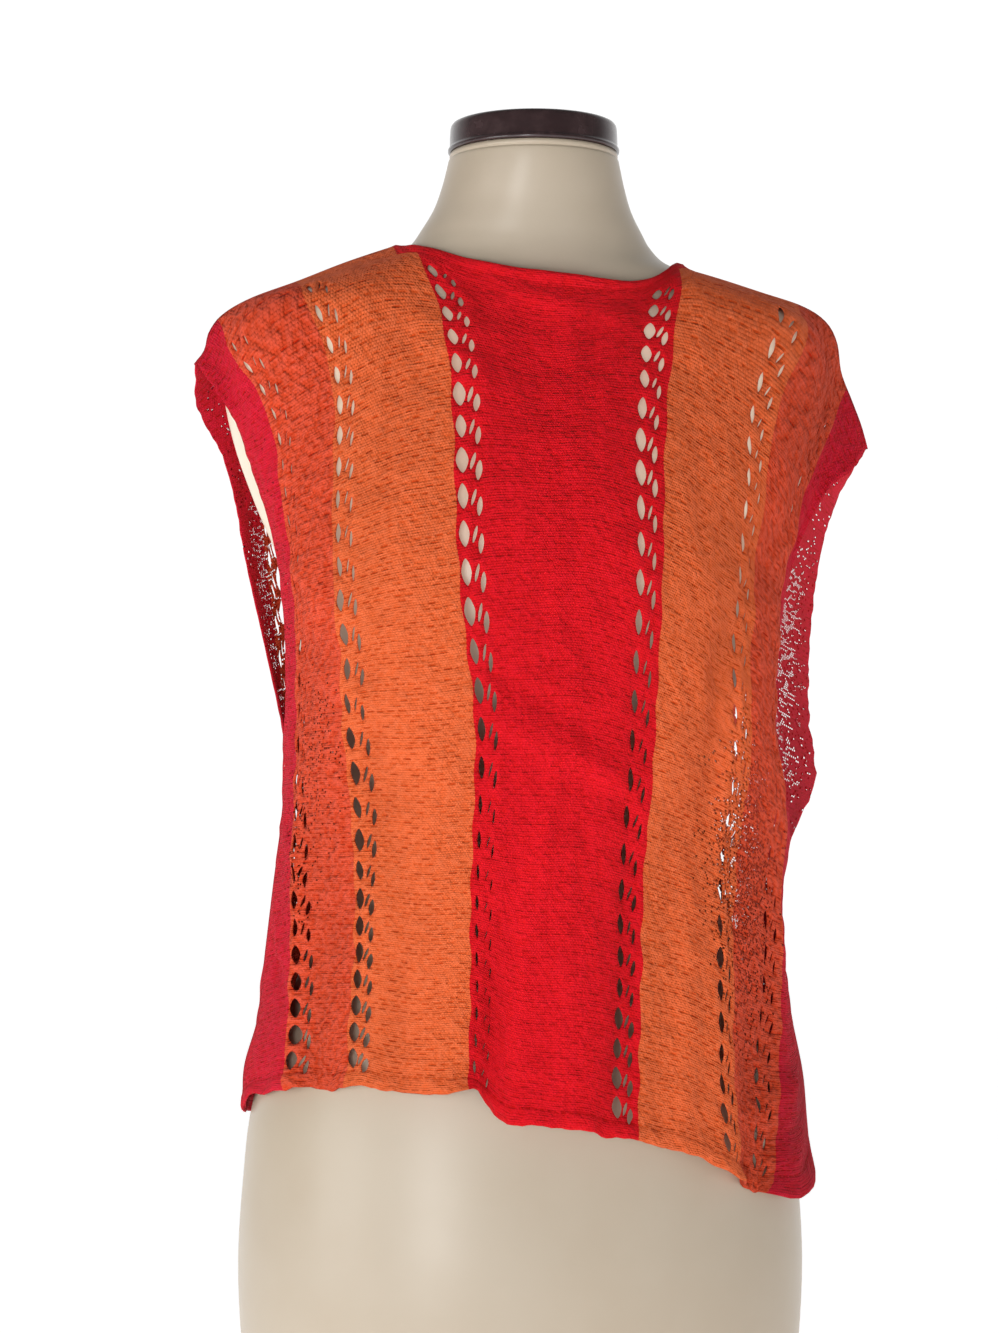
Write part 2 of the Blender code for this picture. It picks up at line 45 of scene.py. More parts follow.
# a socket in an expression: each operator adds its Math node
class Sock:
    def __init__(self, shader, socket):
        self.shader, self.socket = shader, socket

    def math(self, operation, *values):
        return self.shader.node("ShaderNodeMath", {"operation": operation}, dict(enumerate(values)))

    def __add__(self, other):
        return self.math("ADD", self, other)

    def __radd__(self, other):
        return self.math("ADD", other, self)

    def __sub__(self, other):
        return self.math("SUBTRACT", self, other)

    def __rsub__(self, other):
        return self.math("SUBTRACT", other, self)

    def __mul__(self, other):
        return self.math("MULTIPLY", self, other)

    def __rmul__(self, other):
        return self.math("MULTIPLY", other, self)

    def __truediv__(self, other):
        return self.math("DIVIDE", self, other)

    def __rtruediv__(self, other):
        return self.math("DIVIDE", other, self)

    def __gt__(self, other):
        return self.math("GREATER_THAN", self, other)

    def __lt__(self, other):
        return self.math("LESS_THAN", self, other)

    def floor(self):
        return self.math("FLOOR", self)

    def fract(self):
        return self.math("FRACT", self)

    def size(self):
        return self.math("ABSOLUTE", self)

    def sine(self):
        return self.math("SINE", self)

    # 0 at low, 1 at high, smooth between them
    def between(self, low, high):
        return self.shader.node("ShaderNodeMapRange", {"interpolation_type": "SMOOTHSTEP"},
                                {"Value": self, "From Min": low, "From Max": high})


# the nodes of a material, or of the room
class Shader:
    def __init__(self, owner):
        owner.use_nodes = True
        self.owner, self.tree = owner, owner.node_tree
        self.tree.nodes.clear()

    # settings come first, then the values or links of the sockets; out can name several outputs
    def node(self, kind, settings=None, sockets=None, out=0):
        made = self.tree.nodes.new(kind)
        for name, value in (settings or {}).items():
            if name == "stops":
                self.setStops(made.color_ramp.elements, value)
            else:
                setattr(made, name, value)
        for name, value in (sockets or {}).items():
            if isinstance(value, Sock):
                self.tree.links.new(value.socket, made.inputs[name])
            else:
                made.inputs[name].default_value = value
        if isinstance(out, tuple):
            return [Sock(self, made.outputs[each]) for each in out]
        return Sock(self, made.outputs[out]) if made.outputs else None

    def setStops(self, ramp, stops):
        while len(ramp) < len(stops):
            ramp.new(0.5)
        for stop, (place, colour) in zip(ramp, stops):
            stop.position, stop.color = place, (*colour, 1.0)

    def mix(self, factor, first, second, blend="MIX"):
        first, second = [each if isinstance(each, Sock) else (*each, 1.0) for each in (first, second)]
        return self.node("ShaderNodeMix", {"data_type": "RGBA", "blend_type": blend},
                         {0: factor, 6: first, 7: second}, out=2)

    def noise(self, place, scale, detail, rough=0.5, dimensions="3D"):
        return self.node("ShaderNodeTexNoise", {"noise_dimensions": dimensions},
                         {"Vector": place, "Scale": scale, "Detail": detail, "Roughness": rough})

    def attribute(self, name):
        return self.node("ShaderNodeAttribute", {"attribute_name": name}, out=2)

    def bump(self, strength, distance, height):
        return self.node("ShaderNodeBump", {}, {"Strength": strength, "Distance": distance, "Height": height})

    # the surface that shows; gives back the material
    def finish(self, sockets):
        surface = self.node("ShaderNodeBsdfPrincipled", {}, sockets)
        self.node("ShaderNodeOutputMaterial", {}, {"Surface": surface})
        return self.owner


# camera, lights and floor
studio = {
    "turn": 10.0,                   # degrees that the form is turned from the camera
    "distance": 2.2, "height": 0.3676, "sideStep": -0.0137,
    "pitch": 3.02, "lens": 93.95, "farthest": 60,
    "aim": (0, 0, 0.34),            # the spot that both lights point at
    # before the form, to its left, above the floor, side length, power
    "keyLight": (1.55, 1.75, 0.22, 1.2, 16.2),
    "frontLight": (2.4, 0.45, 0.30, 0.5, 12.5),
    "roomGrey": 0.16, "roomWhite": 1.04, "roomDim": 0.8,
    "greyEnds": 0.60, "whiteStarts": 0.90,      # from before the form, 0, to behind it, 1
    "floorReach": 14.0, "floorTones": (0.93, 0.97), "floorGlow": 0.68,
}
turn, pitch = math.radians(studio["turn"]), math.radians(studio["pitch"])
right = Vector((math.cos(turn), -math.sin(turn), 0))
ahead = Vector((math.sin(turn), math.cos(turn), 0))


def show(thing):
    bpy.context.scene.collection.objects.link(thing)
    return thing


def greyOf(value):
    return (value, value, value)


camera = show(bpy.data.objects.new("camera", bpy.data.cameras.new("camera")))
camera.location = right * studio["sideStep"] - ahead * studio["distance"] + Vector((0, 0, studio["height"]))
look = ahead * math.cos(pitch) + Vector((0, 0, math.sin(pitch)))
camera.rotation_euler = look.to_track_quat("-Z", "Y").to_euler()
camera.data.lens = studio["lens"]
camera.data.clip_end = studio["farthest"]
bpy.context.scene.camera = camera
bpy.context.scene.view_settings.view_transform = "Standard"

for name in ("keyLight", "frontLight"):
    before, aside, height, side, power = studio[name]
    light = bpy.data.lights.new(name, "AREA")
    light.shape, light.size, light.size_y, light.energy = "RECTANGLE", side, side, power
    lamp = show(bpy.data.objects.new(name, light))
    lamp.location = -ahead * before - right * aside + Vector((0, 0, height))
    lamp.rotation_euler = (Vector(studio["aim"]) - lamp.location).to_track_quat("-Z", "Y").to_euler()

# a white wall behind the form, a grey room round the rest
world = bpy.data.worlds.new("studio")
bpy.context.scene.world = world
air = Shader(world)
direction = air.node("ShaderNodeTexCoord")
behind = air.node("ShaderNodeVectorMath", {"operation": "DOT_PRODUCT"}, {0: direction, 1: tuple(ahead)}, out=1)
white, grey = greyOf(studio["roomWhite"]), greyOf(studio["roomGrey"])
stops = [(0.0, greyOf(studio["roomGrey"] * studio["roomDim"])), (studio["greyEnds"], grey),
         (studio["whiteStarts"], white)]
room = air.node("ShaderNodeValToRGB", {"stops": stops}, {0: behind * 0.5 + 0.5})
# past the floor's end the room looks white from every side, and only its light is grey
seen = air.node("ShaderNodeLightPath")
wall = air.node("ShaderNodeBackground", {}, {"Color": air.mix(seen, room, white), "Strength": 1.0})
air.node("ShaderNodeOutputWorld", {}, {"Surface": wall})

reach = studio["floorReach"]
floorMesh = bpy.data.meshes.new("floor")
floorMesh.from_pydata([(-reach, -reach, 0), (reach, -reach, 0), (reach, reach, 0), (-reach, reach, 0)],
                      [], [(0, 1, 2, 3)])
floor = show(bpy.data.objects.new("floor", floorMesh))
paleFloor = Shader(bpy.data.materials.new("paleFloor"))
speckle = paleFloor.node("ShaderNodeTexNoise", {}, {"Scale": 3.0, "Detail": 2.0})
floorMesh.materials.append(paleFloor.finish({
    "Base Color": paleFloor.mix(speckle, *[greyOf(tone) for tone in studio["floorTones"]]),
    "Roughness": 0.9, "Specular IOR Level": 0.1,
    "Emission Color": (1.0, 1.0, 1.0, 1.0), "Emission Strength": studio["floorGlow"]}))
print("studio ready")


# smooth curves through short tables
def curve(rows, at):
    rows = np.array(rows, float)
    x, y = rows[:, 0], rows[:, 1:]
    slope = np.gradient(y, x, axis=0)
    at = np.clip(np.atleast_1d(at), x[0], x[-1])
    i = np.clip(np.searchsorted(x, at, side="right") - 1, 0, len(x) - 2)
    h = (x[i + 1] - x[i])[:, None]
    t = ((at - x[i]) / (x[i + 1] - x[i]))[:, None]
    return ((2 * t**3 - 3 * t**2 + 1) * y[i] + (t**3 - 2 * t**2 + t) * h * slope[i]
            + (3 * t**2 - 2 * t**3) * y[i + 1] + (t**3 - t**2) * h * slope[i + 1])


def smooth(t):
    t = np.clip(t, 0.0, 1.0)
    return t * t * (3 - 2 * t)


def along(points, shares):
    points = np.asarray(points, float)
    step = np.linalg.norm(np.diff(points, axis=0), axis=1)
    length = np.concatenate([[0], np.cumsum(step)])
    return np.stack([np.interp(np.asarray(shares) * length[-1], length, points[:, k]) for k in range(3)], 1)


def rounded(points):
    rows = [(k, *p) for k, p in enumerate(points)]
    return curve(rows, np.linspace(0, len(rows) - 1, 20 * len(rows)))


def addPiece(name, verts, faces, materials):
    mesh = bpy.data.meshes.new(name)
    mesh.from_pydata([tuple(v) for v in verts], [], faces)
    mesh.update()
    for each in materials:
        mesh.materials.append(each)
    mesh.polygons.foreach_set("use_smooth", [True] * len(mesh.polygons))
    made = show(bpy.data.objects.new(name, mesh))
    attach(made, "root")
    return made


# dress form
dressForm = {
    # height, half width, front, back, squareness
    "levels": [(0.0, 0.168, -0.115, 0.115, 2.2), (0.045, 0.1735, -0.119, 0.12, 2.2),
               (0.113, 0.1775, -0.122, 0.122, 2.2), (0.16, 0.175, -0.119, 0.117, 2.2),
               (0.2135, 0.1685, -0.113, 0.107, 2.2), (0.255, 0.154, -0.107, 0.096, 2.2),
               (0.3, 0.138, -0.101, 0.085, 2.2), (0.345, 0.122, -0.098, 0.078, 2.2),
               (0.39, 0.117, -0.098, 0.076, 2.2), (0.435, 0.123, -0.106, 0.077, 2.2),
               (0.48, 0.139, -0.124, 0.082, 2.2), (0.515, 0.149, -0.137, 0.087, 2.2),
               (0.546, 0.156, -0.14, 0.089, 2.2), (0.584, 0.171, -0.134, 0.091, 2.3),
               (0.622, 0.184, -0.122, 0.089, 2.3), (0.655, 0.1905, -0.111, 0.08, 2.3),
               (0.68, 0.1905, -0.102, 0.068, 2.3), (0.697, 0.184, -0.095, 0.056, 2.3),
               (0.708, 0.169, -0.09, 0.047, 2.3), (0.717, 0.143, -0.087, 0.04, 2.2),
               (0.726, 0.114, -0.086, 0.032, 2.1), (0.735, 0.088, -0.086, 0.025, 2.0),
               (0.744, 0.0765, -0.0865, 0.019, 2.0), (0.754, 0.0695, -0.088, 0.014, 2.0),
               (0.766, 0.0625, -0.09, 0.01, 2.0), (0.78, 0.0575, -0.093, 0.008, 2.0),
               (0.794, 0.054, -0.0955, 0.008, 2.0), (0.802, 0.0522, -0.0962, 0.0082, 2.0)],
    "around": 144,
    "betweenLevels": 5,
    "grooveAt": 0.7985, "grooveDeep": 0.0009, "grooveHigh": 0.0008,
    "colour": (0.655, 0.560, 0.435),
    "aged": (0.93, 0.90, 0.86),                 # how the colour shifts in clouds
    "scuffed": 0.82, "scuffShare": 0.25,
    "neckShadeColour": (0.10, 0.08, 0.06), "neckShadeShare": 0.16,
    "neckShadeFrom": 0.70, "neckShadeOver": 0.05,         # height where the painted shade on the neck starts, and how soon it is full
    "through": 0.50,                            # painted light: a glow on the form standing in for the light that comes through the knit
    "coveredFrom": 0.44, "coveredOver": 0.10, "coveredTo": 0.705, "coveredEnd": 0.02,
    "roughness": 0.36, "scuffRoughness": 0.16, "coat": 0.3, "coatRoughness": 0.28,
}


def loft(rings):
    count = len(rings[0])
    verts = [p for ring in rings for p in ring]
    faces = []
    for start in range(0, len(verts) - count, count):
        for k in range(count):
            after = (k + 1) % count
            faces.append((start + k, start + after, start + count + after, start + count + k))
    faces.append(tuple(reversed(range(count))))
    faces.append(tuple(range(len(verts) - count, len(verts))))
    return verts, faces


def formRing(z, half, front, rear, square):
    middle, deep = (front + rear) / 2, (rear - front) / 2
    ring = []
    for k in range(dressForm["around"]):
        a = 2 * math.pi * k / dressForm["around"]
        c, s = math.cos(a), math.sin(a)
        ring.append((half * math.copysign(abs(c) ** (2 / square), c),
                     middle + deep * math.copysign(abs(s) ** (2 / square), s), z))
    return ring


# the two end faces stay flat
def flattenEnds(piece):
    for polygon in piece.data.polygons:
        polygon.use_smooth = len(polygon.vertices) == 4


def darker(colour, factor):
    return tuple(c * f for c, f in zip(colour, factor))


levels = dressForm["levels"]
heights = np.concatenate([np.linspace(a[0], b[0], dressForm["betweenLevels"], endpoint=False)
                          for a, b in zip(levels, levels[1:])] + [[levels[-1][0]]])
heights = np.union1d(heights, dressForm["grooveAt"] + dressForm["grooveHigh"] * np.linspace(-2, 2, 9))
formRows = np.column_stack([heights, curve(levels, heights)])
# a fine line runs round the neck under the cap
groove = dressForm["grooveDeep"] * np.exp(-((heights - dressForm["grooveAt"]) / dressForm["grooveHigh"]) ** 2)
formRows[:, 1:4] += np.outer(groove, (-1, 1, -1))
formVerts, formFaces = loft([formRing(*row) for row in formRows])
formTree = BVHTree.FromPolygons([Vector(v) for v in formVerts], formFaces)


def creamShell():
    shell = Shader(bpy.data.materials.new("creamShell"))
    spot = shell.node("ShaderNodeTexCoord", out=3)
    cloud = shell.noise(spot, 6.0, 4.0, 0.6)
    grain = shell.noise(spot, 420.0, 3.0)
    scuff = shell.noise(spot, 55.0, 6.0, 0.75)
    cream = dressForm["colour"]
    tone = shell.mix(cloud.between(0.3, 0.75), cream, darker(cream, dressForm["aged"]))
    scuffed = darker(cream, greyOf(dressForm["scuffed"]))
    tone = shell.mix(scuff.between(0.66, 0.8) * dressForm["scuffShare"], tone, scuffed)
    # painted shade: the neck under the cap is painted darker
    tone = shell.mix(shell.attribute("neck") * dressForm["neckShadeShare"], tone, dressForm["neckShadeColour"])
    # painted light: the form glows where the knit covers it
    covered = shell.attribute("covered") * dressForm["through"]
    return shell.finish({
        "Base Color": tone, "Roughness": dressForm["roughness"] + scuff * dressForm["scuffRoughness"],
        "Normal": shell.bump(0.10, 0.0006, grain * 0.6 + cloud),
        "Emission Color": shell.mix(covered, (0.0, 0.0, 0.0), tone), "Emission Strength": 1.0,
        "Coat Weight": dressForm["coat"], "Coat Roughness": dressForm["coatRoughness"]})


formShell = addPiece("formShell", formVerts, formFaces, [creamShell()])
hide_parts("dress_form")
flattenEnds(formShell)
heightAt = np.array([v[2] for v in formVerts])
# where the painted glow lies, on the form under the knit
covered = (np.clip((heightAt - dressForm["coveredFrom"]) / dressForm["coveredOver"], 0, 1)
           * np.clip((dressForm["coveredTo"] - heightAt) / dressForm["coveredEnd"], 0, 1))
# where the painted shade on the neck lies
neck = smooth((heightAt - dressForm["neckShadeFrom"]) / dressForm["neckShadeOver"])
for name, values in (("covered", covered), ("neck", neck)):
    formShell.data.attributes.new(name, "FLOAT", "POINT").data.foreach_set("value", values)
print("form shell ready:", len(formFaces), "faces")


# neck cap
neckCap = {
    "centreY": -0.044, "around": 120,
    # height, radius
    "levels": [(0.8023, 0.0519), (0.8025, 0.053), (0.803, 0.0535), (0.8044, 0.0536), (0.805, 0.0533),
               (0.8056, 0.0526), (0.8066, 0.0525), (0.812, 0.0524), (0.8172, 0.0521), (0.8189, 0.0517),
               (0.8202, 0.0508), (0.8208, 0.0495), (0.8209, 0.048)],
    "colour": (0.034, 0.016, 0.017), "rubbed": (0.060, 0.032, 0.033),
    "roughness": 0.20, "wearRoughness": 0.12, "coat": 0.4, "coatRoughness": 0.12,
}


def capRing(z, radius):
    turns = [2 * math.pi * k / neckCap["around"] for k in range(neckCap["around"])]
    return [(radius * math.cos(a), neckCap["centreY"] + radius * math.sin(a), z) for a in turns]


def darkCap():
    surface = Shader(bpy.data.materials.new("darkCap"))
    spot = surface.node("ShaderNodeTexCoord", out=3)
    wear = surface.noise(spot, 90.0, 5.0)
    fibre = surface.noise(spot, 900.0, 2.0)
    return surface.finish({
        "Base Color": surface.mix(wear.between(0.35, 0.75), neckCap["colour"], neckCap["rubbed"]),
        "Roughness": neckCap["roughness"] + wear * neckCap["wearRoughness"],
        "Coat Weight": neckCap["coat"], "Coat Roughness": neckCap["coatRoughness"],
        "Normal": surface.bump(0.1, 0.0003, fibre)})


capVerts, capFaces = loft([capRing(*level) for level in neckCap["levels"]])
capDisc = addPiece("capDisc", capVerts, capFaces, [darkCap()])
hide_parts("neck_cap")
flattenEnds(capDisc)
print("neck cap ready:", len(capFaces), "faces")


# knit cloth: shape
knit = {
    "length": 55.0, "wornHalf": 25.5,           # cm down the panel, cm across half the worn cloth
    "corner": 7.6,                              # cm from the middle to the neck corner
    "sideSeamFrom": 0.52,                       # share of the way down where the armhole ends
    "edges": [6.6, 14.9, 20.5],                 # cm from the middle where the next colour starts
    "thick": 0.0016, "rimThick": 0.0006, "hemThick": 0.0024, "armThick": 0.0006, "edgeThin": 0.55,
    "formClear": 0.0005, "gridClear": 0.0017, "seamClear": 0.0036, "seamGap": 0.0001,
    "repeats": {"front": 26, "back": 24}, "laceFrom": 0.034, "laceTo": 0.982, "cellSteps": 6, "plainStep": 0.36,
    "topRows": 9, "hemRows": 6,                 # rows above the lace and below it
    "gridAcross": 57, "gridDown": 53, "arcSteps": 300,
    "knots": [0.0, 0.1, 0.2, 0.3, 0.4, 0.52, 0.64, 0.76, 0.88, 1.0],
    "edgeReach": 6.0, "foldCalm": 2.5,          # cm over which the edge shapes the cloth and the folds fade
    "settleRounds": 4, "smoothRounds": 3, "smoothShare": 0.4,
    "creaseScale": 2.0,
    "calm": (1.5, 2.5),                         # cm from the side and the shoulder without creases
    # cm of reach, pull in cm or as a share of the length, step in cm
    "armholeWander": (1.6, 0.13, 0.8), "hemWander": (1.5, 0.0022, 0.9),
    # step in cm, height in metres, or the share by which the yarn's tone changes
    "waves": {"slow": (3.6, 0.0022), "small": (1.1, 0.0017), "hemRipple": (2.6, 0.004), "hemHang": (3.0, 0.003),
              "dye": (2.2, 0.05)},
    # painted light and shade: ridges and folds painted lighter, hollows darker, and the inner side darker
    "ridgeLightShade": (0.004, 0.08), "foldLightShade": (0.010, 0.11), "innerShade": 0.30,
    # cm from the edge to the inner side of the turned hems, and to the stitch line beside them
    "hems": {"hem": 1.15, "neck": 1.0, "arm": 0.55, "soft": 0.25,
             "hemLine": 1.2, "neckLine": 1.05, "lineWide": 0.16},
    "bandProud": 0.0005, "grooveDeep": 0.0006, "armProud": 0.0004,
    "loosest": 1.6, "openFrom": 0.04,
    "litFrom": (14.0, 5.0), "litTo": (0.62, 0.12),      # cm across and share down, each with its soft width
    # share of the rows, relative height of the lace repeats
    "pitch": [(0.0, 0.02), (0.08, 0.026), (0.2, 0.031), (0.31, 0.038), (0.46, 0.047), (0.62, 0.045),
              (0.77, 0.037), (1.0, 0.035)],
    # worn width of the red, orange, rust and crimson stripes down the panel, as a factor of the knitted one
    "wornRight": [(0.0, 1.28, 0.85, 0.85, 1.1), (0.1, 1.24, 0.93, 0.78, 1.1), (0.2, 1.14, 1.05, 0.78, 1.0),
                  (0.3, 1.1, 1.05, 0.78, 1.05), (0.4, 0.98, 1.0, 1.0, 1.0), (0.52, 0.77, 1.03, 1.15, 1.05),
                  (0.6, 0.77, 0.96, 1.25, 1.0), (0.7, 0.79, 0.94, 1.05, 1.45), (0.8, 0.79, 0.9, 0.95, 1.7),
                  (0.9, 0.76, 0.97, 0.75, 1.95), (1.0, 0.77, 0.94, 0.73, 2.0)],
    "wornLeft": [(0.0, 1.35, 0.8, 0.85, 1.1), (0.1, 1.25, 0.93, 1.05, 0.7), (0.15, 1.16, 1.07, 1.06, 0.55),
                 (0.2, 1.1, 1.12, 0.95, 0.65), (0.3, 0.98, 1.0, 0.8, 1.2), (0.4, 0.92, 0.88, 0.75, 1.6),
                 (0.52, 0.79, 0.82, 0.85, 1.9), (0.6, 0.79, 0.86, 0.98, 1.75), (0.7, 0.78, 0.84, 1.1, 1.6),
                 (0.8, 0.77, 0.77, 1.0, 2.0), (0.9, 0.73, 0.78, 0.55, 2.7), (1.0, 0.69, 0.85, 0.28, 3.0)],
    "stripes": [("plain", 3.4), ("lace", 2.1), ("plain", 3.5), ("lace", 2.1), ("plain", 6.2), ("lace", 2.1),
                ("plain", 9.0), ("lace", 2.1), ("plain", 6.2), ("lace", 2.1), ("plain", 3.5), ("lace", 2.1),
                ("plain", 3.4)],
}
halfWidth = sum(width for _, width in knit["stripes"]) / 2
# shoulder seams from the neck corner to the cap tip
seamRight = [(-0.084, -0.032, 0.744), (-0.115, -0.026, 0.7335), (-0.145, -0.021, 0.7215),
             (-0.174, -0.017, 0.7105), (-0.1915, -0.014, 0.7), (-0.1995, -0.013, 0.689),
             (-0.202, -0.012, 0.6785), (-0.2083, -0.012, 0.669)]
seamLeft = [(0.093, -0.032, 0.736), (0.122, -0.026, 0.73), (0.152, -0.021, 0.7225), (0.18, -0.017, 0.715),
            (0.196, -0.014, 0.706), (0.2035, -0.013, 0.693), (0.2065, -0.012, 0.674),
            (0.2135, -0.012, 0.656), (0.22, -0.012, 0.639), (0.2235, -0.012, 0.625)]
# neck edge between the corners
neckEdge = {"front": [(-0.062, -0.071, 0.7335), (-0.03, -0.094, 0.7235), (0.009, -0.102, 0.718),
                      (0.048, -0.095, 0.7155), (0.076, -0.072, 0.724)],
            "back": [(-0.064, 0.004, 0.747), (-0.034, 0.022, 0.745), (0.006, 0.029, 0.743),
                     (0.046, 0.021, 0.741), (0.075, 0.002, 0.74)]}
# side edges: share of the way down, front x, front y, back x, back y, z
edgeRight = [(0.0, -0.2083, -0.012, -0.2083, -0.012, 0.669), (0.06, -0.194, -0.038, -0.2035, 0.026, 0.644),
             (0.11, -0.1825, -0.043, -0.1895, 0.034, 0.623), (0.165, -0.1745, -0.046, -0.18, 0.04, 0.599),
             (0.255, -0.1625, -0.05, -0.1709, 0.045, 0.556), (0.375, -0.154, -0.04, -0.1595, 0.034, 0.501),
             (0.46, -0.1515, -0.022, -0.153, 0.016, 0.464), (0.52, -0.1504, -0.005, -0.1504, -0.005, 0.44),
             (0.6, -0.1503, -0.005, -0.1503, -0.005, 0.402), (0.72, -0.1565, 0.0, -0.1565, 0.0, 0.346),
             (0.8, -0.161, 0.003, -0.161, 0.003, 0.305), (0.89, -0.166, 0.004, -0.166, 0.004, 0.261),
             (0.95, -0.174, 0.004, -0.174, 0.004, 0.232), (1.0, -0.1745, 0.004, -0.1745, 0.004, 0.208)]
edgeLeft = [(0.0, 0.2235, -0.012, 0.2235, -0.012, 0.625), (0.04, 0.209, -0.032, 0.22, 0.018, 0.609),
            (0.07, 0.192, -0.044, 0.218, 0.034, 0.598), (0.11, 0.179, -0.049, 0.2125, 0.04, 0.58),
            (0.165, 0.167, -0.05, 0.207, 0.044, 0.556), (0.255, 0.154, -0.047, 0.201, 0.044, 0.512),
            (0.375, 0.1505, -0.038, 0.1985, 0.039, 0.453), (0.46, 0.158, -0.022, 0.1975, 0.023, 0.408),
            (0.52, 0.1745, 0.0, 0.1745, 0.0, 0.374), (0.6, 0.1685, 0.0, 0.1685, 0.0, 0.343),
            (0.7, 0.1688, 0.003, 0.1688, 0.003, 0.303), (0.8, 0.176, 0.005, 0.176, 0.005, 0.262),
            (0.89, 0.184, 0.006, 0.184, 0.006, 0.2225), (0.95, 0.1862, 0.006, 0.1862, 0.006, 0.196),
            (1.0, 0.1882, 0.006, 0.1882, 0.006, 0.174)]
# middle line: share down, x, y, z, squareness right and left, rise of the shoulder
middleLine = {
    "front": [(0.1, 0.004, -0.114, 0.669, 1.4, 1.35, 0.026), (0.2, 0.002, -0.133, 0.619, 2.1, 1.9, 0.012),
              (0.3, 0.001, -0.1455, 0.566, 2.9, 2.5, 0.004), (0.4, -0.001, -0.148, 0.513, 3.0, 2.5, 0.0),
              (0.52, -0.001, -0.145, 0.449, 2.7, 2.0, 0.0), (0.64, -0.002, -0.139, 0.386, 2.5, 1.9, 0.0),
              (0.76, -0.003, -0.136, 0.323, 2.2, 1.9, 0.0), (0.88, -0.005, -0.135, 0.262, 2.0, 1.9, 0.0),
              (1.0, -0.006, -0.137, 0.204, 1.9, 1.9, 0.0)],
    "back": [(0.1, 0.006, 0.062, 0.692, 1.35, 1.35, 0.012), (0.2, 0.006, 0.092, 0.642, 1.9, 1.9, 0.004),
             (0.3, 0.003, 0.1, 0.588, 2.3, 2.3, 0.0), (0.4, 0.002, 0.101, 0.534, 2.4, 2.4, 0.0),
             (0.52, 0.002, 0.102, 0.469, 2.4, 2.4, 0.0), (0.64, 0.002, 0.105, 0.404, 2.3, 2.3, 0.0),
             (0.76, 0.003, 0.116, 0.34, 2.3, 2.3, 0.0), (0.88, 0.004, 0.127, 0.276, 2.3, 2.3, 0.0),
             (1.0, 0.004, 0.135, 0.212, 2.3, 2.3, 0.0)]}
# rise of the bottom hem: cm across, front, back
hemRise = [(-23.9, 0.0, 0.0), (-23.0, 0.009, -0.004), (-19.3, 0.016, -0.012), (-14.0, 0.02, -0.013),
           (-9.0, 0.017, -0.008), (-6.2, 0.024, -0.006), (-4.6, 0.006, 0.0), (-3.0, 0.0, 0.0),
           (0.0, -0.001, 0.0), (6.6, -0.006, -0.004), (11.0, -0.013, -0.008), (14.0, -0.023, -0.01),
           (18.5, -0.028, -0.008), (20.5, -0.029, -0.006), (21.5, -0.032, -0.004), (22.5, -0.022, -0.002),
           (23.9, 0.0, 0.0)]
# folds: cm across at the top and low end, share down from, to, half width in cm, height in metres
folds = {
    "front": [(-4.6, -4.9, 0.7, 1.02, 1.5, -0.013), (-7.6, -7.9, 0.62, 1.02, 1.9, 0.006),
              (13.2, 13.6, 0.62, 1.02, 1.7, 0.008), (17.6, 17.8, 0.62, 1.02, 1.5, -0.01),
              (-17.5, -17.0, 0.55, 1.02, 1.8, -0.006), (20.5, 12.0, 0.2, 0.6, 1.8, 0.005),
              (0.5, 1.5, 0.45, 1.0, 2.6, 0.004)],
    "back": [(5.0, 4.6, 0.6, 1.02, 1.8, -0.01), (8.4, 8.6, 0.55, 1.02, 2.0, 0.006),
             (-12.5, -13.0, 0.55, 1.02, 2.0, 0.008), (-9.0, -9.2, 0.6, 1.02, 1.8, -0.007),
             (-1.0, -1.5, 0.4, 1.0, 2.6, 0.005), (16.5, 17.0, 0.5, 1.02, 2.0, -0.007)]}
# soft creases: cm across and share down at each end, half width in cm, height in metres
creases = {
    "front": [(21.5, 0.13, 13.0, 0.33, 0.9, 0.0016), (19.5, 0.2, 10.5, 0.4, 1.1, -0.0014),
              (-21.0, 0.3, -13.0, 0.38, 1.0, 0.0012), (-20.5, 0.4, -12.0, 0.45, 1.2, -0.0012),
              (-15.0, 0.47, -8.0, 0.62, 1.3, 0.0014), (-6.0, 0.46, 4.0, 0.555, 0.7, -0.0013),
              (-5.0, 0.52, 6.0, 0.6, 0.9, 0.0012), (-12.4, 0.42, -12.8, 0.7, 0.9, -0.0014),
              (11.5, 0.36, 11.8, 0.62, 1.1, -0.0018), (9.0, 0.5, 3.0, 0.72, 1.4, 0.0013),
              (-1.5, 0.6, -3.0, 0.95, 0.9, 0.0018), (4.6, 0.62, 5.4, 0.97, 0.9, -0.0016),
              (10.0, 0.66, 9.6, 1.0, 1.0, 0.0015), (-11.0, 0.66, -11.6, 1.0, 1.0, -0.0013),
              (20.8, 0.56, 21.0, 1.0, 0.9, 0.0018), (-20.6, 0.58, -20.0, 1.0, 0.9, 0.0016),
              (-3.0, 0.03, 5.0, 0.09, 0.8, 0.001), (-9.0, 0.08, -4.0, 0.2, 1.0, 0.0011),
              (-23.0, 0.72, -20.5, 0.92, 0.5, 0.0012), (-22.6, 0.8, -19.5, 0.97, 0.6, -0.0012),
              (-22.8, 0.62, -18.5, 0.76, 0.6, 0.001), (13.0, 0.5, 14.2, 0.8, 0.9, 0.0012),
              (22.6, 0.84, 16.0, 0.93, 0.8, 0.0012), (22.5, 0.9, 14.5, 0.985, 0.7, -0.001)],
    "back": [(20.5, 0.2, 12.0, 0.38, 1.1, 0.0018), (-20.5, 0.22, -12.5, 0.4, 1.1, 0.0018),
             (-3.0, 0.55, -4.0, 1.0, 1.0, 0.0018), (11.5, 0.6, 12.0, 1.0, 1.0, 0.0016),
             (-16.5, 0.6, -17.0, 1.0, 1.0, 0.0014), (2.0, 0.08, 8.0, 0.18, 1.0, 0.0012),
             (-20.8, 0.56, -21.0, 1.0, 0.9, 0.0018), (20.6, 0.58, 20.8, 1.0, 0.9, 0.0016)]}


